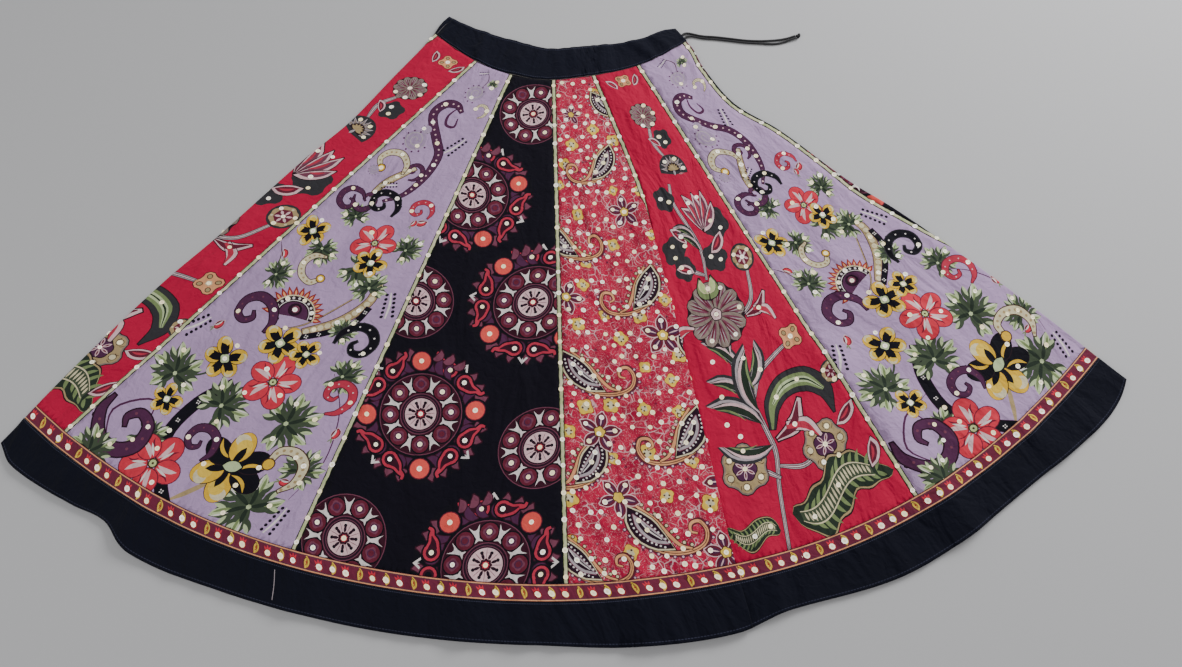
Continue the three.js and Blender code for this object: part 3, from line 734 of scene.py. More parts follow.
def weave_group():
    """Threads, slubs and soft rumples of cotton, from the flat pattern in metres"""
    exits = [("Shade", "Float"), ("Threads", "Float"), ("Rumples", "Float")]
    wires, _, out = node_group("cotton weave", [], exits)
    flat = wires.flat()
    parts = wires.node("SeparateXYZ", {"Vector": flat})
    turns = 2 * math.pi / THREAD_PITCH
    warp, weft = (wires.maths("SINE", wires.maths("MULTIPLY", parts.outputs[axis], turns)) for axis in "XY")
    wires.feed(out["Threads"], wires.maths("MULTIPLY", warp, weft))
    broad = wires.noise(flat, 14, 3, 0.5, 0.6)
    slubs = wires.noise(wires.scaled(flat, (900, 120, 1)), 1, 2, 0.6)
    cloudy = wires.spread(broad, 0.3, 0.7, 0.93, 1.04)
    wires.feed(out["Shade"], wires.maths("ADD", cloudy, wires.spread(slubs, 0.2, 0.8, -0.035, 0.035)))
    folds = wires.noise(wires.scaled(flat, (1.0, 0.4, 1)), 19, 3, 0.5, 1.0)
    small = wires.noise(flat, 90, 2, 0.5, 0.8)
    wires.feed(out["Rumples"], wires.maths("ADD", folds, wires.maths("MULTIPLY", small, 0.18)))
    return wires.tree


def squiggle_group():
    """Fine curling lines and small buds that cover the ground of the pink print"""
    exits = [("Lines", "Float"), ("Buds", "Float"), ("Patches", "Float")]
    wires, _, out = node_group("fine squiggles", [], exits)
    flat = wires.flat()
    bent = wires.node("TexNoise", {"Vector": flat, "Scale": 60, "Detail": 1})
    sway = wires.scaled(bent.outputs["Color"], 0.012)
    moved = wires.node("VectorMath", {0: flat, 1: sway}, operation="ADD")
    cells = wires.node("TexVoronoi", feature="DISTANCE_TO_EDGE")
    wires.feed(cells.inputs["Vector"], moved.outputs[0])
    wires.feed(cells.inputs["Scale"], 88)
    lines = wires.spread(cells.outputs["Distance"], 0.015, 0.06, 1, 0)
    field = wires.noise(flat, 130, 1, 0.4, 1.8)
    curls = wires.spread(wires.maths("ABSOLUTE", wires.maths("SUBTRACT", field, 0.5)), 0.006, 0.024, 1, 0)
    gaps = wires.noise(flat, 34, 2)
    kept = wires.spread(gaps, 0.46, 0.58)
    some = wires.maths("MAXIMUM", wires.maths("MULTIPLY", lines, kept), wires.maths("MULTIPLY", curls, 0.6))
    wires.feed(out["Lines"], some)
    buds = wires.node("TexVoronoi", {"Vector": flat, "Scale": 70})
    wires.feed(out["Buds"], wires.spread(buds.outputs["Distance"], 0.14, 0.2, 1, 0))
    wires.feed(out["Patches"], wires.spread(wires.noise(flat, 46, 2, 0.5, 0.5), 0.44, 0.58))
    return wires.tree


def stripe_group():
    """The piping's dark green edges and its uneven cream middle"""
    wires, _, out = node_group("piping stripes", [], [("Colour", "Color")])
    flat = wires.flat()
    parts = wires.node("SeparateXYZ", {"Vector": flat})
    wobble = wires.spread(wires.noise(wires.scaled(flat, (0.2, 1, 1)), 120, 2), 0.2, 0.8, -0.0007, 0.0007)
    across = wires.maths("ABSOLUTE", wires.maths("ADD", parts.outputs["X"], wobble))
    edge = wires.spread(across, 0.0019, 0.0025)
    tint = wires.noise(flat, 45, 3)
    middle = wires.blend(wires.spread(tint, 0.35, 0.65), opaque("#e9e3bd"), opaque("#c3cf95"))
    threads = wires.spread(wires.noise(wires.scaled(flat, (300, 1500, 1)), 1, 1), 0.3, 0.7, 0, 0.3)
    middle = wires.blend(threads, middle, opaque("#8f9a6a"))
    wires.feed(out["Colour"], wires.blend(edge, middle, opaque("#1d261b")))
    return wires.tree


def stitch_group():
    """A dashed line of thread at a height on the flat pattern"""
    entries = [("Height", "Float"), ("Pitch", "Float")]
    wires, into, out = node_group("topstitching", entries, [("Mask", "Float")])
    flat = wires.flat()
    parts = wires.node("SeparateXYZ", {"Vector": flat})
    away = wires.maths("ABSOLUTE", wires.maths("SUBTRACT", parts.outputs["Y"], into["Height"]))
    dash = wires.maths("FRACT", wires.maths("DIVIDE", parts.outputs["X"], into["Pitch"]))
    on_thread = wires.spread(away, 0.0002, 0.0006, 1, 0)
    wires.feed(out["Mask"], wires.maths("MULTIPLY", on_thread, wires.spread(dash, 0.25, 0.35)))
    return wires.tree


WEAVE = weave_group()
SQUIGGLES = squiggle_group()
STRIPES = stripe_group()
STITCHES = stitch_group()


TOPSTITCH_INK = "#3a3c50"


def cotton(name, colour=None, squiggles=False, stripes=False, stitches=(), rough=0.88, rumpled=0.55):
    """Printed or plain cotton. Its colour is the print's ink unless colour gives one."""
    material = plain_finish(name, colour or "#ffffff", rough)
    wires = Wires(material.node_tree)
    shader = material.node_tree.nodes["Principled BSDF"]
    shader.inputs["Sheen Weight"].default_value = 0.03
    shader.inputs["Specular IOR Level"].default_value = 0.15
    weave = wires.node("Group", node_tree=WEAVE)
    if stripes:
        shown = wires.node("Group", node_tree=STRIPES).outputs["Colour"]
    elif colour:
        shown = opaque(colour)
    else:
        shown = wires.node("Attribute", attribute_name="ink").outputs["Color"]
    if squiggles:
        lines = wires.node("Group", node_tree=SQUIGGLES)
        bare = wires.node("Attribute", attribute_name="bare").outputs["Fac"]
        for label, ink in (("Patches", "#b01a40"), ("Buds", "#7c2440"), ("Lines", "#e9b9bd")):
            mask = wires.maths("MULTIPLY", lines.outputs[label], bare)
            shown = wires.blend(mask, shown, opaque(ink))
    for height, pitch in stitches:
        stitch = wires.node("Group", node_tree=STITCHES)
        wires.feed(stitch.inputs["Height"], height)
        wires.feed(stitch.inputs["Pitch"], pitch)
        shown = wires.blend(stitch.outputs["Mask"], shown, opaque(TOPSTITCH_INK))
    shade = wires.node("CombineColor")
    for part in shade.inputs[:3]:
        wires.feed(part, weave.outputs["Shade"])
    wires.feed(shader.inputs["Base Color"], wires.blend(1.0, shown, shade.outputs[0], "MULTIPLY"))
    threads = wires.bump(weave.outputs["Threads"], 0.0001, 0.25)
    rumples = wires.bump(weave.outputs["Rumples"], 0.02, rumpled)
    wires.feed(rumples.inputs["Normal"], threads.outputs["Normal"])
    wires.feed(shader.inputs["Normal"], rumples.outputs["Normal"])
    return material


# Strength of the sequins' painted glow: an emission that stands in for their glints
SEQUIN_PAINTED_GLOW = 0.6


def spangle():
    """Pearly pressed sequins, each in its own ink, which they also give off as a painted glow in place of
    glints
    """
    material = plain_finish("sequins", "#ffffff", 0.35)
    wires = Wires(material.node_tree)
    shader = material.node_tree.nodes["Principled BSDF"]
    shader.inputs["Coat Weight"].default_value = 0.4
    ink = wires.node("Attribute", attribute_name="ink").outputs["Color"]
    wires.feed(shader.inputs["Base Color"], ink)
    # The emission paints a glint on every sequin: each glows in its own ink under any lamp
    wires.feed(shader.inputs["Emission Color"], ink)
    shader.inputs["Emission Strength"].default_value = SEQUIN_PAINTED_GLOW
    return material


def black_braid():
    """The drawstring's twisted cotton, with painted shade in the twist's grooves"""
    material = plain_finish("black braid", "#0d0c10", 0.6)
    wires = Wires(material.node_tree)
    shader = material.node_tree.nodes["Principled BSDF"]
    shader.inputs["Sheen Weight"].default_value = 0.1
    place = wires.node("TexCoord").outputs["Object"]
    twist = wires.noise(wires.scaled(place, (1, 1.6, 1)), 620, 2, 0.5, 0.6)
    # Painted shade: the black is darker in the twist's grooves and lighter on its raised strands, following
    # the bump
    painted_groove_shade = wires.spread(twist, 0.3, 0.7)
    wires.feed(shader.inputs["Base Color"], wires.blend(painted_groove_shade, opaque("#09080b"), opaque("#26242b")))
    wires.feed(shader.inputs["Normal"], wires.bump(twist, 0.0006).outputs["Normal"])
    return material


def dress(piece, material, slot, *nodes):
    piece.data.materials.append(material)
    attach(piece, "root")
    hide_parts(*nodes)


# Prints. A motif is drawn about its own middle with its top towards -y, and r is its size in millimetres.
INKS = {
    "black": "#12101a", "white": "#efe6e4", "cream": "#e2d6b0", "gold": "#ecbc3c", "lime": "#c9d894",
    "charcoal": "#37363a", "plum": "#552a4c", "dark plum": "#2c1526", "mauve": "#7c4257", "maroon": "#3b1425",
    "wine": "#6c2438", "rose": "#c2394f", "coral": "#dc3b4c", "blush": "#eac3c8", "orange": "#ee5a52",
    "brown": "#4a3026", "tan": "#b49c72", "taupe": "#8f7f76", "smoke": "#b7aab0", "olive": "#46523f",
    "leaf": "#7f9160", "pale leaf": "#c3d3a2", "forest": "#2b362c", "peach": "#eda878", "brick": "#a8342c",
    "ink line": "#2a1a22", "lilac line": "#ab93b4", "sun": "#f2cb52",
}
TURN_SAMPLES = 5


def turned(angle):
    """Matrix for row vectors that turns clockwise as seen with y pointing down"""
    c, s = math.cos(angle * RAD), math.sin(angle * RAD)
    return np.array([[c, s], [-s, c]])


def through(points, samples=TURN_SAMPLES):
    """A smooth curve through the points"""
    pts = np.array(points, float)
    before = np.concatenate([2 * pts[:1] - pts[1:2], pts[:-2], pts[-2:-1]])[:len(pts) - 1]
    after = np.concatenate([pts[2:], 2 * pts[-1:] - pts[-2:-1]])
    found = []
    for a, b, c, d in zip(before, pts[:-1], pts[1:], after):
        for i in range(samples):
            t = i / samples
            found.append(0.5 * (2 * b + (c - a) * t + (2 * a - 5 * b + 4 * c - d) * t * t
                                + (3 * b - 3 * c + d - a) * t ** 3))
    found.append(pts[-1])
    return np.array(found)


class Print:
    """Shapes printed on a flat pattern, later ones over earlier ones, and the sequins sewn on them"""

    def __init__(self, shapes=None, gems=None, spot=(0, 0), matrix=None):
        self.shapes = [] if shapes is None else shapes
        self.gems = [] if gems is None else gems
        self.spot = np.array(spot, float)
        self.matrix = np.eye(2) if matrix is None else matrix

    def at(self, x, y, turn=0, flip=1):
        matrix = np.diag([flip, 1.0]) @ turned(turn) @ self.matrix
        return Print(self.shapes, self.gems, np.array([x, y]) @ self.matrix + self.spot, matrix)

    def ring(self, count, start=0):
        """The same print at even turns about its middle"""
        return [self.at(0, 0, 360 / count * i + start) for i in range(count)]

    def put(self, ink, points):
        placed = np.asarray(points, float) @ self.matrix + self.spot
        x, y = placed.T
        if np.dot(x, np.roll(y, -1)) < np.dot(y, np.roll(x, -1)):
            placed = placed[::-1]
        self.shapes.append((ink, placed))

    def gem(self, x=0, y=0):
        self.gems.append(np.array([x, y]) @ self.matrix + self.spot)

    def disc(self, ink, x, y, r, squash=1.0, points=None):
        count = points or int(np.clip(7 + r * 0.6, 8, 32))
        a = np.linspace(0, 2 * math.pi, count, endpoint=False)
        self.put(ink, np.stack([x + r * squash * np.cos(a), y + r * np.sin(a)], axis=1))

    def lobes(self, ink, x, y, r, count, deep, turn=0, sharp=1.0):
        a = np.linspace(0, 2 * math.pi, count * 5, endpoint=False)
        swell = np.abs(np.cos(count * a / 2)) ** sharp
        radius = r * (1 - deep * (1 - swell))
        b = a + turn * RAD - math.pi / 2
        self.put(ink, np.stack([x + radius * np.cos(b), y + radius * np.sin(b)], axis=1))

    def stroke(self, ink, points, widths, edge=None, rim=1.0, samples=TURN_SAMPLES):
        """A line of changing width along a smooth curve, with a rim of another ink if edge is given"""
        middle = through(points, samples)
        ways = np.gradient(middle, axis=0)
        ways /= np.maximum(1e-9, np.linalg.norm(ways, axis=1, keepdims=True))
        side = np.stack([-ways[:, 1], ways[:, 0]], axis=1)
        places = np.linspace(0, 1, len(widths))
        wide = np.interp(np.linspace(0, 1, len(middle)), places, widths)[:, None] / 2
        if edge:
            ends = middle.copy()
            ends[0] -= ways[0] * rim
            ends[-1] += ways[-1] * rim
            self.put(edge, np.concatenate([ends + side * (wide + rim), (ends - side * (wide + rim))[::-1]]))
        self.put(ink, np.concatenate([middle + side * wide, (middle - side * wide)[::-1]]))

    def leaf(self, ink, x0, y0, x1, y1, wide, bow=0, edge=None, rim=1.0, fat=0.45):
        """A pointed leaf from one point to another, bowed to its left by a share of its length"""
        start, end = np.array([x0, y0], float), np.array([x1, y1], float)
        way = end - start
        side = np.array([-way[1], way[0]]) * bow
        points = [start, start + way * 0.3 + side * 0.8, start + way * 0.66 + side * 0.85, end]
        widths = [0.25, wide * 0.75, wide, wide * (1.3 - fat), 0.2]
        self.stroke(ink, points, widths, edge, rim, samples=3)


def leaves(p, r, rows):
    """Leaves in shares of a size: ink, both ends, width, and a bow where they have one"""
    for ink, x0, y0, x1, y1, wide, *bow in rows:
        p.leaf(ink, x0 * r, y0 * r, x1 * r, y1 * r, wide * r, *bow)


def petal(p, ink, start, end, wide, edge=None, rim=1.0):
    """A rounded petal that points towards -y"""
    widths = np.array([0.25, 0.55, 0.8, 0.97, 1.0, 0.88, 0.4]) * wide
    p.stroke(ink, [(0, -start), (0, -mix(start, end, 0.5)), (0, -end)], widths, edge, rim, samples=5)


def spots(p, ink, points, r):
    for x, y in points:
        p.disc(ink, x, y, r, points=6)


def along(points, count, samples=8):
    """Evenly spread places on a smooth curve"""
    line = through(points, samples)
    reach = np.concatenate([[0], np.cumsum(np.linalg.norm(np.diff(line, axis=0), axis=1))])
    wanted = (np.arange(count) + 0.5) / count * reach[-1]
    return np.stack([np.interp(wanted, reach, line[:, i]) for i in (0, 1)], axis=1)


# Motifs of the black print
def medallion_heart(p, r):
    """The smaller medallion, and the middle of the larger one"""
    p.disc("mauve", 0, 0, r, points=40)
    p.disc("maroon", 0, 0, r - 1.2, points=40)
    middle = -0.735 * r
    for i, (petal, fork) in enumerate(zip(p.ring(8), p.ring(8, 22.5))):
        petal.disc("black", 0, middle, 0.24 * r)
        petal.disc("wine", 0, middle, 0.205 * r, points=16)
        petal.lobes("mauve", 0, middle, 0.15 * r, 4, 0.3)
        petal.disc("plum", 0, middle, 0.1 * r, points=8)
        petal.disc("wine", 0, middle, 0.07 * r, points=8)
        if i not in (2, 7):
            petal.gem(0, middle)
        fork.put("white", [
            (-0.13 * r, -0.93 * r), (-0.05 * r, -0.83 * r), (0, -0.81 * r), (0.05 * r, -0.83 * r),
            (0.13 * r, -0.93 * r), (0.06 * r, -0.74 * r), (0.035 * r, -0.62 * r), (0.1 * r, -0.53 * r),
            (0, -0.57 * r), (-0.1 * r, -0.53 * r), (-0.035 * r, -0.62 * r), (-0.06 * r, -0.74 * r),
        ])
    rounds = (("mauve", 0.5), ("dark plum", 0.48), ("mauve", 0.43), ("dark plum", 0.415), ("blush", 0.38))
    for ink, size in rounds:
        p.disc(ink, 0, 0, size * r, points=32)
    for line_between, ray in zip(p.ring(8), p.ring(8, 22.5)):
        line_between.leaf("mauve", 0, -0.12 * r, 0, -0.37 * r, 0.014 * r)
        ray.leaf("white", 0, -0.12 * r, 0, -0.37 * r, 0.05 * r)
        ray.disc("black", 0, -0.285 * r, 0.042 * r, points=8)
        ray.leaf("dark plum", 0, -0.29 * r, 0, -0.12 * r, 0.07 * r)
    p.lobes("maroon", 0, 0, 0.15 * r, 8, 0.25)
    p.lobes("rose", 0, 0, 0.09 * r, 8, 0.3)
    p.gem()


def loop_drop(p, r, flip):
    """One of a pair of teardrop loops, with its tail curled out"""
    spot = p.at(0.16 * r * flip, -0.76 * r, 20 * flip, flip)
    tail = np.array([(0.04, -0.01), (0.12, -0.04), (0.19, -0.1), (0.26, -0.13), (0.27, -0.19)]) * r
    for ink, more in (("black", 0.024), ("rose", 0.0)):
        spot.stroke(ink, tail, (np.array([0.2, 0.15, 0.075, 0.05, 0.035]) + 2 * more) * r)
        spot.disc(ink, -0.01 * r, 0.0, (0.118 + more) * r, points=14)
    spot.stroke("maroon", tail[:3], np.array([0.13, 0.07, 0.01]) * r)
    spot.disc("maroon", -0.012 * r, 0.002 * r, 0.08 * r, points=12)
    spot.disc("black", -0.012 * r, 0.002 * r, 0.05 * r, points=8)
    spot.gem(-0.012 * r, 0.002 * r)


def medallion(p, r):
    p.disc("black", 0, 0, 1.01 * r, points=40)
    for quarter in p.ring(4):
        for turn, size in ((20, 1), (31, 0.9), (59, 0.9), (70, 1), (82, 0.9), (8, 0.9)):
            bit = quarter.at(0, 0, turn)
            wide = 0.12 * r * size
            bit.leaf("mauve", -0.04 * r, -0.84 * r, 0.06 * r, -1.0 * r, wide, 0.3, "maroon", 0.016 * r)
            bit.leaf("plum", 0.05 * r, -0.66 * r, -0.05 * r, -0.86 * r, wide, -0.3, "maroon", 0.012 * r)
        spot = quarter.at(0, 0, 45)
        spot.disc("black", 0, -0.8 * r, 0.18 * r, points=16)
        spot.disc("wine", 0, -0.8 * r, 0.152 * r, points=16)
        spot.disc("orange", 0, -0.8 * r, 0.138 * r, points=16)
        spot.gem(0, -0.8 * r)
        for flip in (-1, 1):
            loop_drop(quarter, r, flip)
        quarter.put("white", [
            (0, -1.0 * r), (0.08 * r, -0.9 * r), (0.05 * r, -0.89 * r), (0.01 * r, -0.94 * r),
            (0, -0.9 * r), (-0.01 * r, -0.94 * r), (-0.05 * r, -0.89 * r), (-0.08 * r, -0.9 * r),
        ])
    p.disc("black", 0, 0, 0.63 * r, points=40)
    medallion_heart(p, 0.61 * r)


# Motifs of the pink print
def paisley(p, r):
    """A paisley from its tip at the top right to its curl at the left"""
    outer = np.array([
        (0.48, -0.36), (0.5, -0.1), (0.36, 0.14), (0.1, 0.3), (-0.2, 0.34), (-0.43, 0.27), (-0.51, 0.11),
        (-0.45, -0.03), (-0.33, -0.02), (-0.3, 0.08), (-0.38, 0.12),
    ]) * r
    inner = np.array([(0.34, -0.36), (0.13, -0.14), (0.0, 0.08), (-0.12, 0.24), (-0.26, 0.3)]) * r
    p.stroke("wine", outer * 1.02, np.array([0.03, 0.09, 0.1, 0.1, 0.08, 0.03]) * r)
    p.stroke("peach", outer, np.array([0.02, 0.05, 0.05, 0.045, 0.04, 0.02]) * r, "brown", 0.008 * r)
    p.stroke("brown", outer[:8], np.array([0.006, 0.012, 0.006]) * r)
    p.stroke("peach", inner, np.array([0.03, 0.045, 0.045, 0.02]) * r, "brown", 0.01 * r)
    p.leaf("cream", 0.46 * r, -0.38 * r, -0.04 * r, 0.29 * r, 0.4 * r, -0.1, "brown", 0.012 * r, 0.6)
    p.leaf("dark plum", 0.45 * r, -0.35 * r, -0.03 * r, 0.27 * r, 0.35 * r, -0.1, fat=0.6)
    p.leaf("smoke", 0.4 * r, -0.24 * r, 0.03 * r, 0.2 * r, 0.16 * r, -0.1, "mauve", 0.01 * r)
    p.leaf("dark plum", 0.37 * r, -0.19 * r, 0.06 * r, 0.16 * r, 0.09 * r, -0.1)
    middle = np.array([(0.34, -0.16), (0.24, 0.0), (0.1, 0.13)]) * r
    p.stroke("white", middle, [0.01 * r, 0.025 * r, 0.01 * r])
    right_beads = along(np.array([(0.45, -0.26), (0.43, -0.06), (0.28, 0.13), (0.06, 0.25)]) * r, 12)
    left_beads = along(np.array([(0.36, -0.27), (0.2, -0.08), (0.1, 0.07), (0.0, 0.2)]) * r, 10)
    spots(p, "white", [*right_beads, *left_beads], 0.016 * r)
    for x, y in along(np.array([(0.38, -0.22), (0.25, 0.0), (0.1, 0.16)]) * r, 3):
        p.gem(x, y)
    for x, y in along(inner + np.array([-0.055, -0.03]) * r, 9):
        p.disc("brown", x, y, 0.034 * r, points=7)
        p.disc("cream", x, y, 0.022 * r, points=6)
    for i, (x, y) in enumerate(along(outer[:8] * 1.15, 19)):
        p.disc("plum", x, y, 0.03 * r, points=7)
        p.disc("blush", x, y, 0.017 * r, points=6)
        if i % 4 == 1:
            p.gem(x, y)
    p.gem(0.46 * r, -0.42 * r)


def star_flower(p, r):
    for i, petal in enumerate(p.ring(5)):
        petal.leaf("wine", 0, -0.1 * r, 0, -r, 0.52 * r, 0, "blush", 0.045 * r)
        petal.leaf("plum", 0, -0.25 * r, 0, -0.88 * r, 0.28 * r)
        petal.leaf("blush", 0, -0.3 * r, 0, -0.8 * r, 0.07 * r)
        if i != 2:
            petal.gem(0, -0.72 * r)
    p.lobes("brown", 0, 0, 0.3 * r, 5, 0.2)
    p.lobes("sun", 0, 0, 0.26 * r, 5, 0.25)
    p.gem()


def buttercup(p, r):
    p.lobes("brick", 0, 0, r * 1.08, 4, 0.3)
    p.lobes("sun", 0, 0, r, 4, 0.35)
    p.lobes("cream", 0, 0, r * 0.5, 4, 0.4, 45)
    for x, y, size in ((0.3, 0.1, 0.14), (-0.25, -0.2, 0.14), (0, 0.4, 0.12)):
        p.disc("brown", x * r, y * r, size * r, points=6)


# Motifs of the red print
def lobed_flower(p, r):
    p.lobes("ink line", 0, 0, r, 6, 0.24, 20, 0.7)
    p.lobes("taupe", 0, 0, r * 0.96, 6, 0.25, 20, 0.7)
    p.lobes("tan", 0, 0, r * 0.9, 6, 0.28, 20, 0.7)
    for i, lobe in enumerate(p.ring(6, 20)):
        lobe.disc("brown", 0, -0.67 * r, 0.15 * r)
        lobe.disc("cream", 0, -0.67 * r, 0.125 * r)
        if i in (0, 2, 3, 5):
            lobe.gem(0, -0.67 * r)
        for side in (-1, 1):
            lobe.leaf("brown", 0.17 * r * side, -0.6 * r, 0.2 * r * side, -0.8 * r, 0.03 * r, 0.2)
    p.lobes("ink line", 0, 0, 0.5 * r, 6, 0.12, 50)
    p.lobes("plum", 0, 0, 0.46 * r, 6, 0.14, 50)
    for ray in p.ring(6, 20):
        ray.leaf("blush", 0, -0.06 * r, 0, -0.42 * r, 0.13 * r)
        ray.leaf("wine", 0, -0.14 * r, 0, -0.36 * r, 0.06 * r)
    p.disc("rose", 0, 0, 0.1 * r)
    p.gem()


def daisy(p, r):
    p.lobes("ink line", 0, 0, 1.03 * r, 12, 0.1, 0, 0.6)
    for i, spoke in enumerate(p.ring(12)):
        petal(spoke, "taupe", 0.1 * r, r, 0.46 * r, "ink line", 0.018 * r)
        for side in (-1, 0, 1):
            ray = spoke.at(0, 0, 8 * side)
            ray.leaf("mauve" if side else "wine", 0, -0.2 * r, 0, -0.9 * r, 0.075 * r)
            ray.leaf("smoke", 0.035 * r, -0.22 * r, 0.035 * r, -0.94 * r, 0.022 * r)
        if i in (1, 3, 5, 7):
            spoke.gem(0, -0.84 * r)
    p.lobes("ink line", 0, 0, 0.21 * r, 5, 0.1)
    p.lobes("blush", 0, 0, 0.18 * r, 5, 0.15)
    p.lobes("wine", 0, 0, 0.1 * r, 5, 0.3)
    p.gem()


def gold_heart(p, r):
    for side in (-1, 1):
        p.leaf("leaf", 0, 0.9 * r, 0.55 * r * side, -0.8 * r, 0.95 * r, 0.16 * side, "ink line", 0.1 * r, 0.8)
        x = 0.5 * r * side
        p.leaf("lime", 0.16 * x, 0.4 * r, x, -0.6 * r, 0.5 * r, 0.16 * side, "cream", 0.06 * r)
    p.lobes("blush", 0, 0.1 * r, 0.28 * r, 5, 0.4)
    p.gem(0, 0.1 * r)


def four_lobes(p, r):
    p.lobes("ink line", 0, 0, r * 1.06, 4, 0.42, 45, 0.8)
    p.lobes("peach", 0, 0, r, 4, 0.45, 45, 0.8)
    for lobe in p.ring(4, 45):
        lobe.disc("brown", 0, -0.6 * r, 0.24 * r, squash=0.85)
        lobe.disc("tan", 0, -0.6 * r, 0.18 * r, squash=0.8)
    p.lobes("cream", 0, 0, 0.24 * r, 5, 0.2)
    p.disc("olive", 0, 0, 0.12 * r)
    p.gem()


def rosette(p, r):
    p.disc("charcoal", 0, 0, r * 1.16)
    p.lobes("tan", 0, 0, r, 8, 0.1)
    p.lobes("wine", 0, 0, 0.68 * r, 6, 0.1)
    for i, ray in enumerate(p.ring(6)):
        ray.leaf("blush", 0, -0.15 * r, 0, -0.62 * r, 0.2 * r)
        ray.disc("cream", 0, -0.82 * r, 0.1 * r, points=8)
        if i % 2:
            ray.gem(0, -0.82 * r)
    p.disc("wine", 0, 0, 0.2 * r)
    p.gem()


def half_fan(p, r):
    """A half flower that opens upwards from its foot"""
    a = np.linspace(-100, 100, 17) * RAD
    rim = np.stack([r * np.sin(a), -r * np.cos(a)], axis=1)
    p.put("charcoal", np.concatenate([rim, [[0, 0.3 * r]]]))
    for i in range(-4, 5):
        petal = p.at(0, 0, 21 * i)
        petal.leaf("smoke", 0, 0, 0, -0.9 * r, 0.24 * r, 0, "ink line", 0.02 * r, 0.8)
        petal.leaf("taupe", 0, -0.1 * r, 0, -0.75 * r, 0.12 * r)
        if i % 3 == 1:
            petal.gem(0, -0.72 * r)
    p.put("ink line", np.concatenate([0.46 * rim, [[0, 0.1 * r]]]))
    for i in range(-3, 4):
        p.at(0, 0, 26 * i).leaf("tan", 0, 0, 0, -0.42 * r, 0.14 * r)
    p.leaf("smoke", 0, 0, 0, 0.34 * r, 0.16 * r)


def trumpet(p, r):
    """A pink horn that opens into two tips"""
    horn = np.array([(0, 0), (0.3, -0.42), (0.28, -1.0)]) * r
    lip = np.array([(0.14, -0.32), (0.55, -0.5), (0.95, -0.36)]) * r
    p.stroke("blush", horn, [0.08 * r, 0.36 * r, 0.08 * r], "ink line", 0.03 * r)
    p.stroke("blush", lip, [0.2 * r, 0.3 * r, 0.06 * r], "ink line", 0.02 * r)
    p.stroke("wine", horn * 0.92, [0.03 * r, 0.22 * r, 0.03 * r])
    p.stroke("rose", lip * 0.94, [0.08 * r, 0.16 * r, 0.02 * r])
    p.gem(*horn[1])


def pod(p, r):
    """A pointed leaf with a pale line round it"""
    p.leaf("blush", 0, 0.5 * r, 0, -0.5 * r, 0.46 * r, 0.1, "ink line", 0.025 * r)
    p.leaf("wine", 0, 0.4 * r, 0, -0.38 * r, 0.3 * r, 0.1)
    p.leaf("rose", 0.02 * r, 0.26 * r, 0.02 * r, -0.24 * r, 0.1 * r, 0.1)


def feather(p, r):
    """A narrow leaf bowed to the right, dark with pale lines"""
    leaves(p, r, [
        ("charcoal", 0, 0, 0.12, -1, 0.3, 0.16), ("smoke", 0, 0, 0.11, -0.97, 0.2, 0.16),
        ("forest", 0, -0.03, 0.1, -0.92, 0.15, 0.16), ("blush", 0, 0, 0.1, -0.9, 0.05, 0.22),
        ("leaf", 0.02, -0.3, 0.09, -0.8, 0.035, 0.12),
    ])
    p.gem(-0.1 * r, -0.6 * r)


def sickle(p, r):
    """A broad leaf that bends over to the right"""
    path = np.array([(0, 0), (-0.02, -0.36), (0.16, -0.66), (0.5, -0.78), (0.82, -0.64), (0.98, -0.3)]) * r
    p.stroke("charcoal", path, np.array([0.08, 0.26, 0.34, 0.36, 0.26, 0.02]) * r, "ink line", 0.015 * r)
    p.stroke("leaf", path[:-1], [0.03 * r, 0.12 * r, 0.2 * r, 0.2 * r, 0.05 * r])
    p.stroke("pale leaf", path[1:-1], [0.03 * r, 0.1 * r, 0.09 * r, 0.02 * r])
    p.stroke("forest", path[1:-1], [0.01 * r, 0.02 * r, 0.03 * r, 0.01 * r])
    p.gem(0.04 * r, -0.48 * r)
    p.gem(0.38 * r, -0.77 * r)


def broad_leaf(p, r, waves):
    """A waved leaf that grows upwards, with a hatched middle between pale lines"""
    ends = np.linspace(0, 1, 30)
    body = np.sin(np.pi * ends ** 0.8) ** 0.7
    curve = 0.1 * np.sin(2.4 * np.pi * ends) * r
    wave = 1 + 0.14 * np.cos(2 * np.pi * waves * ends)
    for ink, wide in (("ink line", 0.24), ("tan", 0.225), ("forest", 0.205)):
        half = wide * r * body * wave
        left = np.stack([curve - half, -r * ends], axis=1)
        right = np.stack([curve + half, -r * ends], axis=1)
        p.put(ink, np.concatenate([left[:-1], right[::-1][:-1]]))
    for i in range(3, 26, 2):
        x, y = curve[i], -r * ends[i]
        reach = 0.19 * r * body[i] * wave[i]
        for side in (-1, 1):
            p.leaf("leaf", x, y, x + side * reach, y - 0.07 * r, 0.035 * r, 0.1 * side)
    inner = slice(2, 25)
    for ink, wide in (("cream", 0.085), ("olive", 0.07)):
        half = wide * r * body[inner] + 0.004 * r
        left = np.stack([curve[inner] - half, -r * ends[inner]], axis=1)
        right = np.stack([curve[inner] + half, -r * ends[inner]], axis=1)
        p.put(ink, np.concatenate([left, right[::-1]]))
    for i in range(3, 24):
        x, y, reach = curve[i], -r * ends[i], 0.062 * r * body[i]
        p.leaf("cream", x - reach, y, x + reach, y - 0.012 * r, 0.02 * r)
    p.gem(curve[5], -r * ends[5])
    p.gem(curve[14], -r * ends[14])


def blunt_leaf(p, r):
    broad_leaf(p, r, 2)


def wavy_leaf(p, r):
    broad_leaf(p, r, 4)


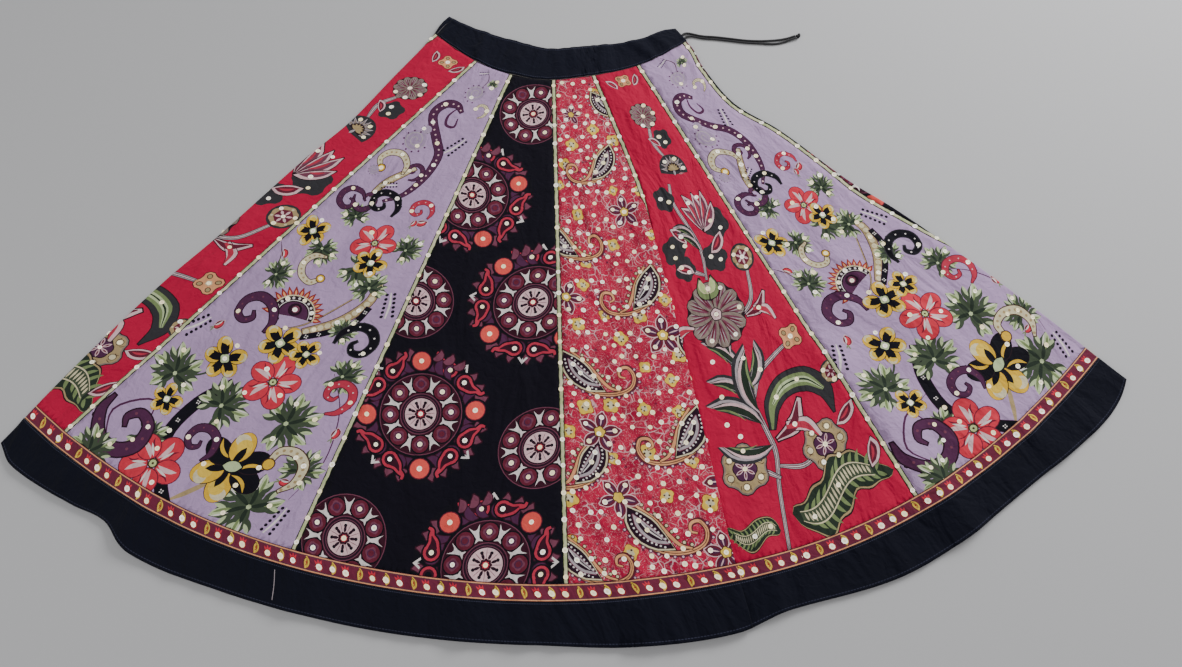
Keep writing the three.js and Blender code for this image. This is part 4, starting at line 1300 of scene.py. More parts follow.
def lily(p, r):
    for turn, long in ((-34, 0.8), (-16, 1), (2, 0.95), (20, 1), (40, 0.8)):
        petal = p.at(0, 0, turn)
        petal.leaf("blush", 0, 0, 0.1 * r, -long * r, 0.24 * r, 0.08, "ink line", 0.02 * r)
        petal.leaf("mauve", 0, -0.1 * r, 0.1 * r, -0.9 * long * r, 0.15 * r, 0.08)
        petal.leaf("rose", 0, -0.3 * r, 0.09 * r, -0.75 * long * r, 0.06 * r, 0.08)
    p.gem(-0.1 * r, -0.75 * r)
    p.gem(0.25 * r, -0.8 * r)


def shadow_patch(p, r):
    p.lobes("charcoal", 0, 0, r, 5, 0.35, 20, 0.6)
    p.gem(-0.3 * r, -0.1 * r)
    p.gem(0.35 * r, 0.25 * r)


# Motifs of the lilac print
def pansy(p, r):
    for turn, long in ((180, 0.98), (-112, 0.92), (112, 0.92), (-44, 1), (44, 1)):
        petal = p.at(0, 0, turn)
        petal.disc("black", 0, -0.58 * r * long, 0.43 * r, squash=0.86)
        petal.disc("gold", 0, -0.6 * r * long, 0.4 * r, squash=0.86)
        petal.disc("cream", 0.08 * r, -0.78 * r * long, 0.19 * r, squash=1.1)
        petal.disc("sun", 0.03 * r, -0.66 * r * long, 0.2 * r)
    for turn in (180, -112, 112, -44, 44):
        petal = p.at(0, 0, turn)
        leaves(petal, r, [("black", 0, 0, -0.14, -0.72, 0.36, 0.1), ("black", 0, 0, 0.2, -0.62, 0.22, -0.1)])
    p.lobes("pale leaf", 0, 0, 0.22 * r, 4, 0.25)
    p.disc("lime", 0, 0, 0.1 * r)
    p.gem(0, -0.75 * r)
    p.gem()


def black_pansy(p, r):
    """The large pansy with three black petals and three gold ones"""
    petals = ((150, "gold"), (-152, "gold"), (-88, "black"), (84, "black"), (32, "black"), (-28, "gold"))
    for turn, ink in petals:
        petal = p.at(0, 0, turn)
        petal.disc("ink line", 0, -0.56 * r, 0.44 * r, squash=0.74)
        petal.disc(ink, 0, -0.57 * r, 0.42 * r, squash=0.72)
        if ink == "gold":
            petal.disc("cream", -0.08 * r, -0.74 * r, 0.17 * r, squash=1.2)
            petal.disc("sun", 0.04 * r, -0.6 * r, 0.2 * r)
            petal.leaf("black", 0, -0.05 * r, 0.1 * r, -0.6 * r, 0.2 * r)
        else:
            petal.leaf("gold", 0.12 * r, -0.2 * r, 0.24 * r, -0.8 * r, 0.1 * r, -0.2)
    p.leaf("pale leaf", -0.16 * r, 0.12 * r, 0.2 * r, -0.2 * r, 0.3 * r, 0, "black", 0.03 * r)
    p.gem(0.5 * r, -0.5 * r)
    p.gem(-0.5 * r, 0.45 * r)


def red_flower(p, r):
    for petal, size in zip(p.ring(5), (1, 0.94, 1, 1, 0.94)):
        petal.disc("wine", 0, -0.57 * r * size, 0.44 * r * size, squash=0.9)
        petal.disc("coral", 0, -0.57 * r * size, 0.41 * r * size, squash=0.9)
        leaves(petal, r, [
            ("blush", -0.03, -0.18, -0.12, -0.8, 0.15, 0.1), ("white", 0.06, -0.2, 0.12, -0.62, 0.07),
            ("wine", 0.2, -0.4, 0.24, -0.74, 0.05, -0.2),
        ])
    p.lobes("brown", 0, 0, 0.17 * r, 5, 0.2)
    p.disc("lime", 0, 0, 0.11 * r)
    p.disc("brown", 0, 0, 0.04 * r, points=6)
    p.gem(0.5 * r, 0.3 * r)
    p.gem(-0.45 * r, -0.3 * r)


def palmate(p, r):
    """A leaf of five toothed blades, dark at its heart and pale at its tips"""
    blades = ((-128, 0.8), (-66, 0.95), (-8, 1), (52, 0.92), (118, 0.86))
    for turn, long in blades:
        blade = p.at(0, 0, turn)
        blade.leaf("olive", 0, 0.06 * r, 0, -long * r, 0.4 * r, 0.05, fat=0.4)
        for side in (-1, 1):
            x, y = 0.3 * side * r, -0.84 * long * r
            blade.leaf("olive", 0, 0.42 * y, x, y, 0.2 * r, 0.1 * side)
            blade.leaf("pale leaf", 0.34 * x, 0.65 * y, x, y, 0.11 * r)
    for turn, long in blades:
        blade = p.at(0, 0, turn)
        blade.leaf("pale leaf", 0.03 * r, -0.45 * long * r, 0.02 * r, -1.0 * long * r, 0.22 * r, 0.05)
        blade.leaf("leaf", 0.06 * r, -0.4 * long * r, 0.07 * r, -0.9 * long * r, 0.08 * r, 0.05)
        blade.leaf("white", -0.03 * r, -0.5 * long * r, -0.02 * r, -0.94 * long * r, 0.045 * r)
        blade.leaf("forest", 0, 0, -0.01 * r, -0.6 * long * r, 0.12 * r, 0.05)
    p.gem(0, -0.74 * r)
    p.gem(-0.55 * r, -0.24 * r)
    p.gem(0.4 * r, 0.3 * r)
    p.disc("pale leaf", 0, 0, 0.07 * r, points=6)


def sun_fan(p, r):
    """A half sun with red tips, a beaded rim and a dark eye"""
    for i in range(-7, 8):
        ray = p.at(0, 0, 13.2 * i)
        ray.leaf("brick", 0, -0.66 * r, 0, -1.04 * r, 0.17 * r, 0, "brown", 0.012 * r, 0.8)
        ray.leaf("peach", 0, -0.7 * r, 0, -0.94 * r, 0.07 * r)
    a = np.linspace(-98, 98, 21) * RAD
    rim = np.stack([np.sin(a), -np.cos(a)], axis=1)
    layers = (("cream", 0.76), ("ink line", 0.72), ("white", 0.57), ("ink line", 0.545), ("plum", 0.5))
    for ink, size in layers:
        p.put(ink, np.concatenate([rim * size * r, [[0, 0.04 * r]]]))
    for i in range(-5, 6):
        p.at(0, 0, 17.5 * i).disc("white", 0, -0.645 * r, 0.05 * r, points=6)
        if i % 3 == 1:
            p.at(0, 0, 17.5 * i).gem(0, -0.645 * r)
    p.disc("dark plum", 0, -0.22 * r, 0.24 * r)
    p.disc("mauve", 0.02 * r, -0.24 * r, 0.14 * r)
    p.gem(0, -0.22 * r)


def hook(p, r, ink, edge, bead):
    """A curled horn with small bumps along its outer side"""
    path = np.array([
        (0.9, 0.5), (0.95, -0.1), (0.5, -0.72), (-0.2, -0.8), (-0.72, -0.35), (-0.66, 0.28), (-0.2, 0.5),
        (0.12, 0.2), (0.0, -0.08),
    ]) * r
    widths = np.array([0.08, 0.3, 0.4, 0.42, 0.4, 0.34, 0.26, 0.2, 0.08]) * r
    outer = along(path[1:7] * 1.22, 9)
    spots(p, edge, outer, 0.09 * r)
    p.stroke(ink, path, widths, edge, 0.05 * r)
    for x, y in along(path[1:8], 7):
        p.disc(bead, x, y, 0.05 * r, points=6)
    p.gem(*path[2])
    p.gem(*path[5])


def plum_hook(p, r):
    hook(p, r, "plum", "dark plum", "mauve")


def black_hook(p, r):
    hook(p, r, "black", "charcoal", "white")


def pink_hook(p, r):
    hook(p, r, "rose", "wine", "blush")


def cream_hook(p, r):
    path = [(0.9, 0.55), (0.98, -0.1), (0.55, -0.68), (-0.15, -0.72), (-0.6, -0.3), (-0.45, 0.22)]
    path = np.array(path) * r
    p.stroke("cream", path, np.array([0.1, 0.3, 0.38, 0.36, 0.3, 0.22]) * r, "brown", 0.045 * r)
    for x, y in along(path, 12):
        p.disc("tan", x, y, 0.07 * r, points=6)
    p.disc("brown", -0.38 * r, 0.3 * r, 0.27 * r)
    p.disc("gold", -0.38 * r, 0.3 * r, 0.22 * r)
    p.gem(-0.38 * r, 0.3 * r)
    p.gem(*path[2])


def swirl(p, r):
    """A fine spiral of a line with dots round it"""
    turns = np.linspace(0, 4.2 * math.pi, 22)
    reach = r * (1 - turns / turns[-1] * 0.9)
    p.disc("lilac line", 0, 0, 0.95 * r, points=14)
    path = np.stack([reach * np.cos(turns), reach * np.sin(turns)], axis=1)
    p.stroke("smoke", path, [0.06 * r, 0.09 * r, 0.05 * r], samples=1)
    for x, y in along(path[:9] * 1.22, 9):
        p.disc("plum", x, y, 0.09 * r, points=6)
    p.gem(0.5 * r, 0.4 * r)


def rosebud(p, r):
    p.leaf("wine", 0, 0.5 * r, 0, -0.6 * r, 0.74 * r, 0.08, "blush", 0.05 * r)
    leaves(p, r, [
        ("coral", 0.04, 0.42, 0.06, -0.5, 0.4, 0.1), ("white", -0.12, 0.3, -0.08, -0.46, 0.16, 0.1),
        ("leaf", 0, 0.4, 0.16, 0.86, 0.14), ("leaf", 0, 0.4, -0.2, 0.8, 0.12),
    ])


def berry_sprig(p, r):
    p.stroke("white", [(-0.1 * r, r), (0.05 * r, 0), (0, -r)], [0.1 * r, 0.16 * r, 0.06 * r])
    for i in range(6):
        y = (0.85 - 0.34 * i) * r
        for side in (-1, 1):
            p.disc("black", side * (0.34 - 0.02 * i) * r, y, 0.12 * r, points=7)


# Long pieces of the lilac print: (across, down) along each
def ribbon(p, path, wide):
    p.stroke("black", path, [wide, wide, wide * 0.95], "plum", 0.6)
    for i, (x, y) in enumerate(along(path, 6)):
        for dx, dy in ((-1.6, -1.5), (1.6, -1.2), (-1.2, 1.8), (1.7, 1.6)):
            p.disc("white", x + dx, y + dy, 1.1, points=6)
    p.gem(*along(path, 3)[1])


def banded(p, path, wide):
    p.stroke("tan", path, [wide * 0.8, wide, wide * 0.85], "brown", 1.2)
    for x, y in along(path, 13):
        p.disc("cream", x, y, wide * 0.32, points=8)
    for x, y in along(path, 4):
        p.gem(x, y)


def line(p, ink, path, wide):
    p.stroke(ink, path, [wide * 0.4, wide, wide, wide * 0.4])


# What each print shows on its gore: motif, across, down, size, turn, and -1 where it is flipped
BLACK_LAYOUT = [
    (medallion_heart, 15, 68, 58, 8), (medallion, -56, 232, 97, 20), (medallion, 72, 398, 97, 0),
    (medallion_heart, -103, 422, 58, 30), (medallion, -57, 585, 97, 33), (medallion_heart, 119, 616, 58, 12),
    (medallion_heart, -121, 769, 58, 16), (medallion, 74, 777, 97, -4),
]
PINK_LAYOUT = [
    (paisley, -3, 168, 92, 0), (paisley, -67, 296, 98, 0, -1), (paisley, 7, 392, 100, 0),
    (paisley, -76, 511, 100, 0, -1), (paisley, 5, 618, 102, 0), (paisley, -37, 739, 100, 0, -1),
    (paisley, 104, 500, 98, 0, -1), (paisley, 105, 730, 100, 0), (paisley, -140, 640, 96, 0),
    (paisley, 64, 60, 80, 0, -1), (paisley, -140, 770, 90, 0, -1),
    (star_flower, 41, 258, 30, 0), (star_flower, -98, 390, 28, 30), (star_flower, 35, 468, 32, 10),
    (star_flower, -94, 597, 30, 20), (star_flower, 60, 690, 32, -14), (star_flower, 135, 610, 30, 8),
    (star_flower, -90, 690, 28, 40), (star_flower, 30, 782, 28, 0), (star_flower, -20, 70, 20, 15),
]
RED_LAYOUT = [
    (shadow_patch, 25, 367, 26, 0), (shadow_patch, 50, 314, 30, 20), (shadow_patch, -39, 251, 24, 0),
    (shadow_patch, 20, 146, 20, 30), (shadow_patch, -52, 340, 26, 60), (shadow_patch, -40, 372, 22, 10),
    (lobed_flower, -32, 681, 37, -10), (lobed_flower, 91, 684, 37, 8), (blunt_leaf, -8, 772, 76, -82),
    (wavy_leaf, 14, 756, 155, 84), (sickle, 24, 640, 96, 22), (feather, 6, 590, 74, -62),
    (feather, 14, 630, 92, -66),
    (feather, 4, 548, 78, -48), (feather, -4, 520, 60, -30), (feather, 4, 576, 78, 22),
    (feather, 12, 612, 104, 12, -1),
    (feather, 20, 660, 84, -72, -1), (trumpet, 26, 655, 66, 34), (pod, 135, 655, 40, 56),
    (four_lobes, 102, 524, 20, 0),
    (daisy, -7, 454, 52, 0), (gold_heart, -8, 410, 21, 0), (trumpet, 44, 470, 50, 44),
    (rosette, 76, 382, 20, 0),
    (pod, 37, 344, 44, 48), (pod, -40, 376, 34, -70), (pod, -36, 318, 40, -42), (lily, 22, 322, 72, -6),
    (feather, 2, 352, 56, -52), (feather, -2, 330, 50, -60), (half_fan, 12, 206, 30, 12),
    (pod, 0, 150, 26, -50),
    (daisy, 5, 97, 25, 0), (four_lobes, 3, 22, 14, 0), (pod, -20, 26, 24, -30), (pod, 22, 24, 24, 24),
    (lobed_flower, -128, 590, 30, 0), (pod, -120, 520, 40, 30), (lobed_flower, -128, 730, 32, 14),
    (rosette, 140, 596, 15, 0), (pod, 150, 720, 40, 20), (trumpet, -90, 500, 50, -20),
]
LILAC_LAYOUT = [
    (palmate, -111, 656, 46, -20), (palmate, -23, 661, 46, 30), (palmate, 71, 647, 50, 60),
    (palmate, 97, 765, 52, -60), (palmate, -80, 466, 32, 60), (palmate, 53, 424, 34, -30),
    (palmate, 20, 404, 36, 100), (palmate, 66, 350, 30, 40), (palmate, 100, 560, 34, 80),
    (palmate, -86, 745, 34, 100),
    (palmate, 128, 700, 36, 20), (palmate, -36, 330, 28, -40),
    (sun_fan, -20, 506, 42, -14), (plum_hook, -69, 530, 32, 0), (red_flower, 18, 602, 42, 0),
    (red_flower, -53, 768, 46, 20), (red_flower, 17, 356, 36, 10), (pansy, -63, 604, 32, 10),
    (pansy, -9, 549, 32, -20),
    (black_pansy, 42, 727, 52, 24), (pansy, 31, 387, 26, 40), (pansy, -78, 382, 28, 0),
    (pansy, 34, 548, 24, 60),
    (palmate, -44, 400, 30, 160), (palmate, 60, 500, 26, 20), (pansy, -96, 690, 24, 30),
    (rosebud, 118, 720, 15, 80),
    (plum_hook, -121, 745, 44, 180), (plum_hook, -16, 716, 26, 20), (cream_hook, 101, 703, 34, 30),
    (cream_hook, -31, 435, 26, -120), (plum_hook, -40, 300, 20, 150), (black_hook, 88, 508, 30, 10, -1),
    (pink_hook, 110, 590, 26, 60), (rosebud, -103, 569, 17, 30), (rosebud, -92, 434, 15, -40),
    (rosebud, 60, 300, 16, 60),
    (berry_sprig, -132, 585, 22, 30), (berry_sprig, 96, 440, 22, -24),
    (swirl, -36, 174, 20, 0), (swirl, 2, 54, 17, 60), (cream_hook, 28, 82, 15, 40),
    (plum_hook, -2, 224, 16, 60), (swirl, -30, 150, 9, 140),
    (berry_sprig, 31, 158, 20, 24),
    (palmate, 20, 30, 13, 30), (berry_sprig, -8, 14, 9, 60), (cream_hook, -46, 230, 29, -20),
    (pink_hook, 48, 281, 19, 0),
    (berry_sprig, -22, 262, 13, 60), (rosebud, 50, 305, 12, 10), (swirl, -62, 250, 9, 0),
    (black_hook, -10, 294, 25, 0), (plum_hook, -62, 310, 22, -60),
    (palmate, -140, 800, 40, 40), (rosebud, 140, 640, 16, 0), (berry_sprig, 140, 770, 20, 10),
]
LILAC_BANDS = [
    (ribbon, [(-28, 628), (-55, 672), (-62, 730), (-30, 778), (-4, 804)], 17),
    (banded, [(63, 414), (66, 446), (46, 486), (9, 522)], 14),
    (banded, [(-4, 217), (-18, 240), (-32, 268), (-36, 292)], 11),
    (ribbon, [(72, 452), (66, 482), (40, 508), (10, 530)], 9),
]

# Stems, and for the lilac print also their ink and width
RED_STEMS = [
    [(-5, 802), (7, 721), (18, 673), (15, 641), (6, 591), (-3, 555), (-7, 514), (-8, 487)],
    [(-5, 398), (1, 342), (-22, 264), (-13, 227)], [(6, 180), (-4, 150), (4, 122)],
    [(8, 596), (30, 560), (61, 542), (92, 530)], [(14, 706), (-4, 692), (-22, 684)],
    [(18, 690), (50, 700), (78, 690)],
    [(-8, 486), (30, 470), (62, 448), (76, 402)], [(-6, 390), (-24, 380), (-34, 372)],
]
LILAC_STEMS = [
    ("brown", [(53, 424), (40, 452), (4, 510), (-38, 540)], 3),
    ("tan", [(52, 424), (39, 453), (3, 511), (-37, 541)], 1.6),
    ("olive", [(-111, 656), (-80, 640), (-60, 615)], 3), ("olive", [(71, 647), (44, 630), (24, 606)], 3),
    ("olive", [(97, 765), (70, 752), (44, 730)], 3.4), ("olive", [(-23, 661), (-8, 640), (10, 612)], 3),
    ("plum", [(-121, 790), (-150, 740), (-110, 700), (-92, 742)], 3),
    ("tan", [(36, 748), (16, 776), (-2, 798)], 7),
    ("plum", [(88, 560), (128, 610), (150, 680), (138, 740)], 1.6),
    ("plum", [(-60, 690), (-100, 696), (-92, 660)], 1.2),
    ("olive", [(31, 387), (24, 372), (18, 358)], 2.6), ("brown", [(-110, 420), (-96, 436), (-90, 452)], 1.6),
    ("brown", [(-6, 4), (8, 24), (4, 44)], 1.4),
    ("plum", [(-8, 92), (-14, 112), (-7, 128), (7, 126), (4, 110)], 5),
]
S_SCROLL = [(3, 97), (-12, 88), (-32, 95), (-38, 122), (-5, 158), (15, 182), (19, 223), (8, 264), (-14, 290)]


def place_motifs(p, layout):
    for motif, x, y, size, turn, *flip in layout:
        motif(p.at(x, y, turn, *flip), size)


def black_print(p, dice):
    place_motifs(p, BLACK_LAYOUT)


BUTTERCUP_TRIES = 400
BUTTERCUP_GAP = 36
BUTTERCUP_SIZES = (9, 13)


def pink_print(p, dice):
    spots_taken = [(row[1], row[2]) for row in PINK_LAYOUT]
    for _ in range(BUTTERCUP_TRIES):
        x, y = dice.uniform(-170, 170), dice.uniform(10, 790)
        clear = min(math.hypot(x - a, y - b) for a, b in spots_taken) > BUTTERCUP_GAP
        if clear and abs(x) < flat_width(y) / 2:
            spots_taken.append((x, y))
            buttercup(p.at(x, y, dice.uniform(0, 360)), dice.uniform(*BUTTERCUP_SIZES))
    place_motifs(p, PINK_LAYOUT)


def red_print(p, dice):
    for path in RED_STEMS:
        p.stroke("smoke", path, [4, 6.4, 6.4, 5], "ink line", 0.9)
        p.stroke("wine", path, [2, 3.6, 3.6, 2.6])
        p.stroke("white", path, [0.6, 1.4, 1.4, 1])
    place_motifs(p, RED_LAYOUT)


def lilac_print(p, dice):
    for ink, path, wide in LILAC_STEMS:
        line(p, ink, path, wide)
    p.stroke("plum", S_SCROLL, [6, 14, 15, 14, 13, 9, 3], "dark plum", 1)
    for x, y in along(S_SCROLL, 26):
        p.disc("blush", x, y, 1.7, points=6)
    for x, y in along(S_SCROLL[1:-1], 5):
        p.gem(x, y)
    for draw, path, wide in LILAC_BANDS:
        draw(p, path, wide)
    place_motifs(p, LILAC_LAYOUT)


PRINTS = [
    ("red_floral", "#c41743", red_print), ("lilac_floral", "#bd9fc9", lilac_print),
    ("black_medallion", "#100d1a", black_print), ("pink_paisley", "#c81f48", pink_print),
]

FRONT_GORES = 6

# Shift of the print on each gore, across and down, and -1 where it is flipped
PRINT_PLACES = [
    (9, 6, 1), (0, 0, 1), (0, 0, 1), (0, 0, 1), (0, 0, 1), (0, 0, 1),
    (14, -30, -1), (-10, 24, -1), (8, -36, -1), (12, 28, -1), (-16, 30, 1), (10, -28, 1),
]


# The box round a gore's print. Large shapes of the hidden gores keep every other point.
PRINT_LOW = (-190.0, -5.0)
PRINT_HIGH = (190.0, 803.0)
PRINT_FOOT = 800
FIRST_COARSE_PRINT = FRONT_GORES + 1
LARGE_SHAPE = 15


def gore_print(k):
    """The shapes that lie on gore k, and the places of its sequins"""
    across, down, flip = PRINT_PLACES[k]
    p = Print()
    PRINTS[k % len(PRINTS)][2](p.at(across, down, 0, flip), random.Random(k))
    near = []
    for ink, points in p.shapes:
        low, high = points.min(axis=0), points.max(axis=0)
        wide = flat_width(np.clip(high[1], 0, PRINT_FOOT)) / 2
        if (high > PRINT_LOW).all() and (low < PRINT_HIGH).all() and np.abs(points[:, 0]).min() < wide:
            coarse = k >= FIRST_COARSE_PRINT and len(points) > LARGE_SHAPE
            near.append((ink, points[::2] if coarse else points))
    return near, p.gems


# Sequins: a pressed disc with a stitch in its middle. Its rings are (share of the radius, height).
SEQUIN_R = 3.55
SEQUIN_SIDES = 8
SEQUIN_RINGS = [(0.96, 0.0), (1.0, 0.32), (0.5, 0.08)]
STITCH_HEIGHT = 0.34
SEQUIN_LEAN = 0.09
SEQUIN_SIZES = (0.9, 1.08)
SEQUIN_ABOVE_CLOTH = 0.05
SEQUIN_INKS = ["#fff6df", "#fbeecb", "#fffaf0", "#f4e6b8"]
STITCH_INK = "#e3d6ae"


def sequins(name, panel, places, dice, share_of_size=1, lift=0):
    """All the sequins of one panel as one mesh, each seated on the cloth with a slight lean"""
    middle, normal, along, fall = panel.frame(np.array(places, float))
    around = np.arange(SEQUIN_SIDES) * 2 * math.pi / SEQUIN_SIDES
    points, faces, colours = [], [], []
    step = len(SEQUIN_RINGS) * SEQUIN_SIDES + 2
    for n in range(len(middle)):
        lean = [dice.uniform(-SEQUIN_LEAN, SEQUIN_LEAN) for _ in range(2)]
        size = SEQUIN_R * share_of_size * dice.uniform(*SEQUIN_SIZES)
        seat = middle[n] + normal[n] * (CLOTH_OUT + SEQUIN_ABOVE_CLOTH + lift)
        start = n * step
        for share, high in SEQUIN_RINGS:
            for a in around + dice.uniform(0, 1):
                x, y = size * share * math.cos(a), size * share * math.sin(a)
                rise = high + max(0, x * lean[0] + y * lean[1])
                points.append(seat + along[n] * x + fall[n] * y + normal[n] * rise)
        points += [seat, seat + normal[n] * STITCH_HEIGHT]
        shine = linear(dice.choice(SEQUIN_INKS))
        for j in range(SEQUIN_SIDES):
            after = (j + 1) % SEQUIN_SIDES
            faces.append((start + j, start + after, start + step - 2))
            colours.append(shine)
            for ring in range(len(SEQUIN_RINGS) - 1):
                low, high = start + ring * SEQUIN_SIDES, start + (ring + 1) * SEQUIN_SIDES
                faces += [(low + j, high + j, low + after), (low + after, high + j, high + after)]
                colours += [shine, shine]
            top = start + (len(SEQUIN_RINGS) - 1) * SEQUIN_SIDES
            faces.append((top + j, start + step - 1, top + after))
            colours.append(linear(STITCH_INK))
    points = np.array(points)
    points[:, 2] = np.maximum(0, points[:, 2])
    piece = new_mesh(name, points * MM, np.array(faces), rounded=False)
    ink_faces(piece.data, np.array(colours))
    piece.data.materials.append(SPANGLE)
    return piece


SEQUIN_SPACING = 21
SEQUIN_LEAST_GAP = 12
SEQUIN_FROM_EDGE = 5


def inside_gore(place):
    x, y = place
    if not SEQUIN_FROM_EDGE < y < GORE_LENGTH - SEQUIN_FROM_EDGE:
        return False
    return abs(x) < flat_width(y) / 2 - PIPING_WIDTH / 2 - SEQUIN_FROM_EDGE


def thinned(places, least):
    """Places that keep clear of the ones before them"""
    kept = []
    for place in places:
        if all(abs(place[0] - a) > least or abs(place[1] - b) > least for a, b in kept):
            kept.append(tuple(place))
    return kept


SCATTER_SHAKE = 0.25
SCATTER_COLUMNS = 9


def scattered(dice):
    """Places all over a gore, on a shaken grid"""
    found = []
    for row in range(int(GORE_LENGTH / SEQUIN_SPACING)):
        for column in range(-SCATTER_COLUMNS, SCATTER_COLUMNS + 1):
            across = column + 0.5 * (row % 2) + dice.uniform(-SCATTER_SHAKE, SCATTER_SHAKE)
            down = row + 0.5 + dice.uniform(-SCATTER_SHAKE, SCATTER_SHAKE)
            found.append((across * SEQUIN_SPACING, down * SEQUIN_SPACING))
    return found


def ride_on_root(piece):
    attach(piece, "root")


SPANGLE = spangle()
PIPING_SEQUIN_DOWNS = range(14, 796, 37)
PIPING_SEQUIN_SHAKE = 3

gore_pieces, piping_pieces, spangled = [], [], []
for k in range(GORES):
    slot, ground, _ = PRINTS[k % len(PRINTS)]
    node = f"gore_{k + 1:02d}"
    dice = random.Random(100 + k)
    shapes, gems = gore_print(k)
    piece = sew(f"cloth_{node}", gore_panel(k), ground, shapes)
    dress(piece, cotton(f"{slot} {k + 1}", squiggles=slot == "pink_paisley"), slot, node)
    places = [tuple(g) for g in gems]
    if slot == "pink_paisley":
        places += scattered(dice)
    places = thinned([p for p in places if inside_gore(p)], SEQUIN_LEAST_GAP)
    beads = sequins(f"sequins_{node}", gore_panel(k), places, dice)
    ride_on_root(beads)
    gore_pieces.append(piece)
    spangled.append(beads)


PIPING_RISE = 0.45


def piping_relief(flat):
    return PIPING_RISE * (1 - (flat[:, 0] / (PIPING_WIDTH / 2)) ** 2)


for k in range(GORES):
    node = f"piping_{k + 1:02d}"
    dice = random.Random(200 + k)
    piece = sew(f"strip_{node}", piping_panel(k), "#d9d6b4", step=3, relief=piping_relief)
    dress(piece, cotton(f"piping {k + 1}", stripes=True, rough=0.7, rumpled=0.1), "pale_piping", node)
    shake = PIPING_SEQUIN_SHAKE
    places = [(0, down + dice.uniform(-shake, shake)) for down in PIPING_SEQUIN_DOWNS]
    beads = sequins(f"sequins_{node}", piping_panel(k), places, dice, lift=PIPING_RISE)
    ride_on_root(beads)
    piping_pieces += [piece, beads]


def border_radius(row, at):
    t = (row - BORDER_R) / (BORDER_LOW_R - BORDER_R)
    return border_top(at) + RING_GAP / 2 + t * (BORDER_DEPTH - RING_GAP)


def hem_radius(row, at):
    t = (row - BORDER_LOW_R) / HEM_BAND_DEPTH
    return mix(border_top(at) + BORDER_DEPTH + RING_GAP / 2, look(HEM_LINE, at), t)


def waistband_radius(row, at):
    t = (row - WAIST_R + WAISTBAND_DEPTH) / (WAISTBAND_DEPTH - 1)
    return mix(look(WAISTBAND_TOP, at), waist_seam(at) - RING_GAP / 2, t)


waistband_panel = ring_panel(WAIST_R - WAISTBAND_DEPTH, WAISTBAND_DEPTH - 1, waistband_radius)
border_panel = ring_panel(BORDER_R, BORDER_DEPTH, border_radius)
hem_panel = ring_panel(BORDER_LOW_R, HEM_BAND_DEPTH, hem_radius)
MARK_STEP = 18
MARK_TURN = 12
EDGE_LINE = (0.5, 2.0)
PRINT_PAST_END = 5
SEQUIN_FROM_END = 4
JOINT_PLACE = -648
JOINT_LINE = [(0, 1), (1.5, 11), (0, 21)]
JOINT_LINE_WIDTH = 1.3


def border_print():
    """Peach lines along both edges, and tulips and drops by turns between them"""
    p = Print()
    half = border_panel.around / 2 + PRINT_PAST_END
    across = np.arange(-half, half, OUTLINE_STEP)
    near, far = EDGE_LINE
    for top, foot in ((near, far), (BORDER_DEPTH - far, BORDER_DEPTH - near)):
        upper, lower = (np.stack([across, np.full(len(across), down)], axis=1) for down in (top, foot))
        p.put("peach", np.concatenate([upper, lower[::-1]]))
    for i in range(int(2 * half / MARK_STEP)):
        turn = random.Random(i).uniform(-MARK_TURN, MARK_TURN)
        spot = p.at((i + 0.5) * MARK_STEP - half, BORDER_DEPTH / 2, turn)
        if i % 2:
            for lean in (-30, 0, 30):
                spot.at(0, 2, lean).leaf("coral", 0, 1, 0, -9.5, 3)
            spot.disc("brick", 0, 2, 5.2)
            spot.gem(0, 2)
        else:
            spot.leaf("sun", 0, 7, 0.8, -7.5, 6.6, 0.1, "gold", 0.5)
            spot.leaf("brick", 0.4, 4, 0.9, -4, 2.6, 0.1)
            spot.stroke("brown", [(-2.6, 5), (-2.8, -1), (0.6, -6), (3.2, -1), (2.2, 5)], [0.5, 0.9, 0.5])
            spot.stroke("sun", [(-1.6, 3), (0.9, 1.6), (-0.8, -0.6), (1.2, -2.4)], [0.5, 0.9, 0.5])
            if i % 4 == 0:
                spot.gem(0.3, 1)
    p.stroke("peach", [(JOINT_PLACE + x, y) for x, y in JOINT_LINE], [JOINT_LINE_WIDTH] * 3)
    return p


THREAD_PLACE = -1545
THREAD_DOWNS = (8, 45)
THREAD_WIDTH = 0.9


def hem_print():
    """Plain but for one pale thread left in the cloth"""
    p = Print()
    top, foot = THREAD_DOWNS
    path = [(THREAD_PLACE, top), (THREAD_PLACE + 0.8, (top + foot) / 2), (THREAD_PLACE, foot)]
    p.stroke("smoke", path, [THREAD_WIDTH] * 3)
    return p


WRINKLE_TOP = 2.2


def wrinkles(seed, around, step, high, wide):
    """Small uneven folds that run down a band"""
    dice = random.Random(seed)
    folds = []
    for i in range(int(around / step)):
        place = (i + dice.uniform(0, 1)) * step - around / 2
        tall, width = dice.uniform(0.3, 1) * high, dice.uniform(0.6, 1.4) * wide
        folds.append((place, tall, width, dice.uniform(-0.4, 0.4)))
    places, heights, widths, slants = np.array(folds).T

    def relief(flat):
        lift = np.zeros(len(flat))
        for place, tall, width, slant in zip(places, heights, widths, slants):
            away = (flat[:, 0] - place - slant * flat[:, 1]) / width
            lift += tall * np.exp(-away * away)
        return np.minimum(lift, WRINKLE_TOP)

    return relief


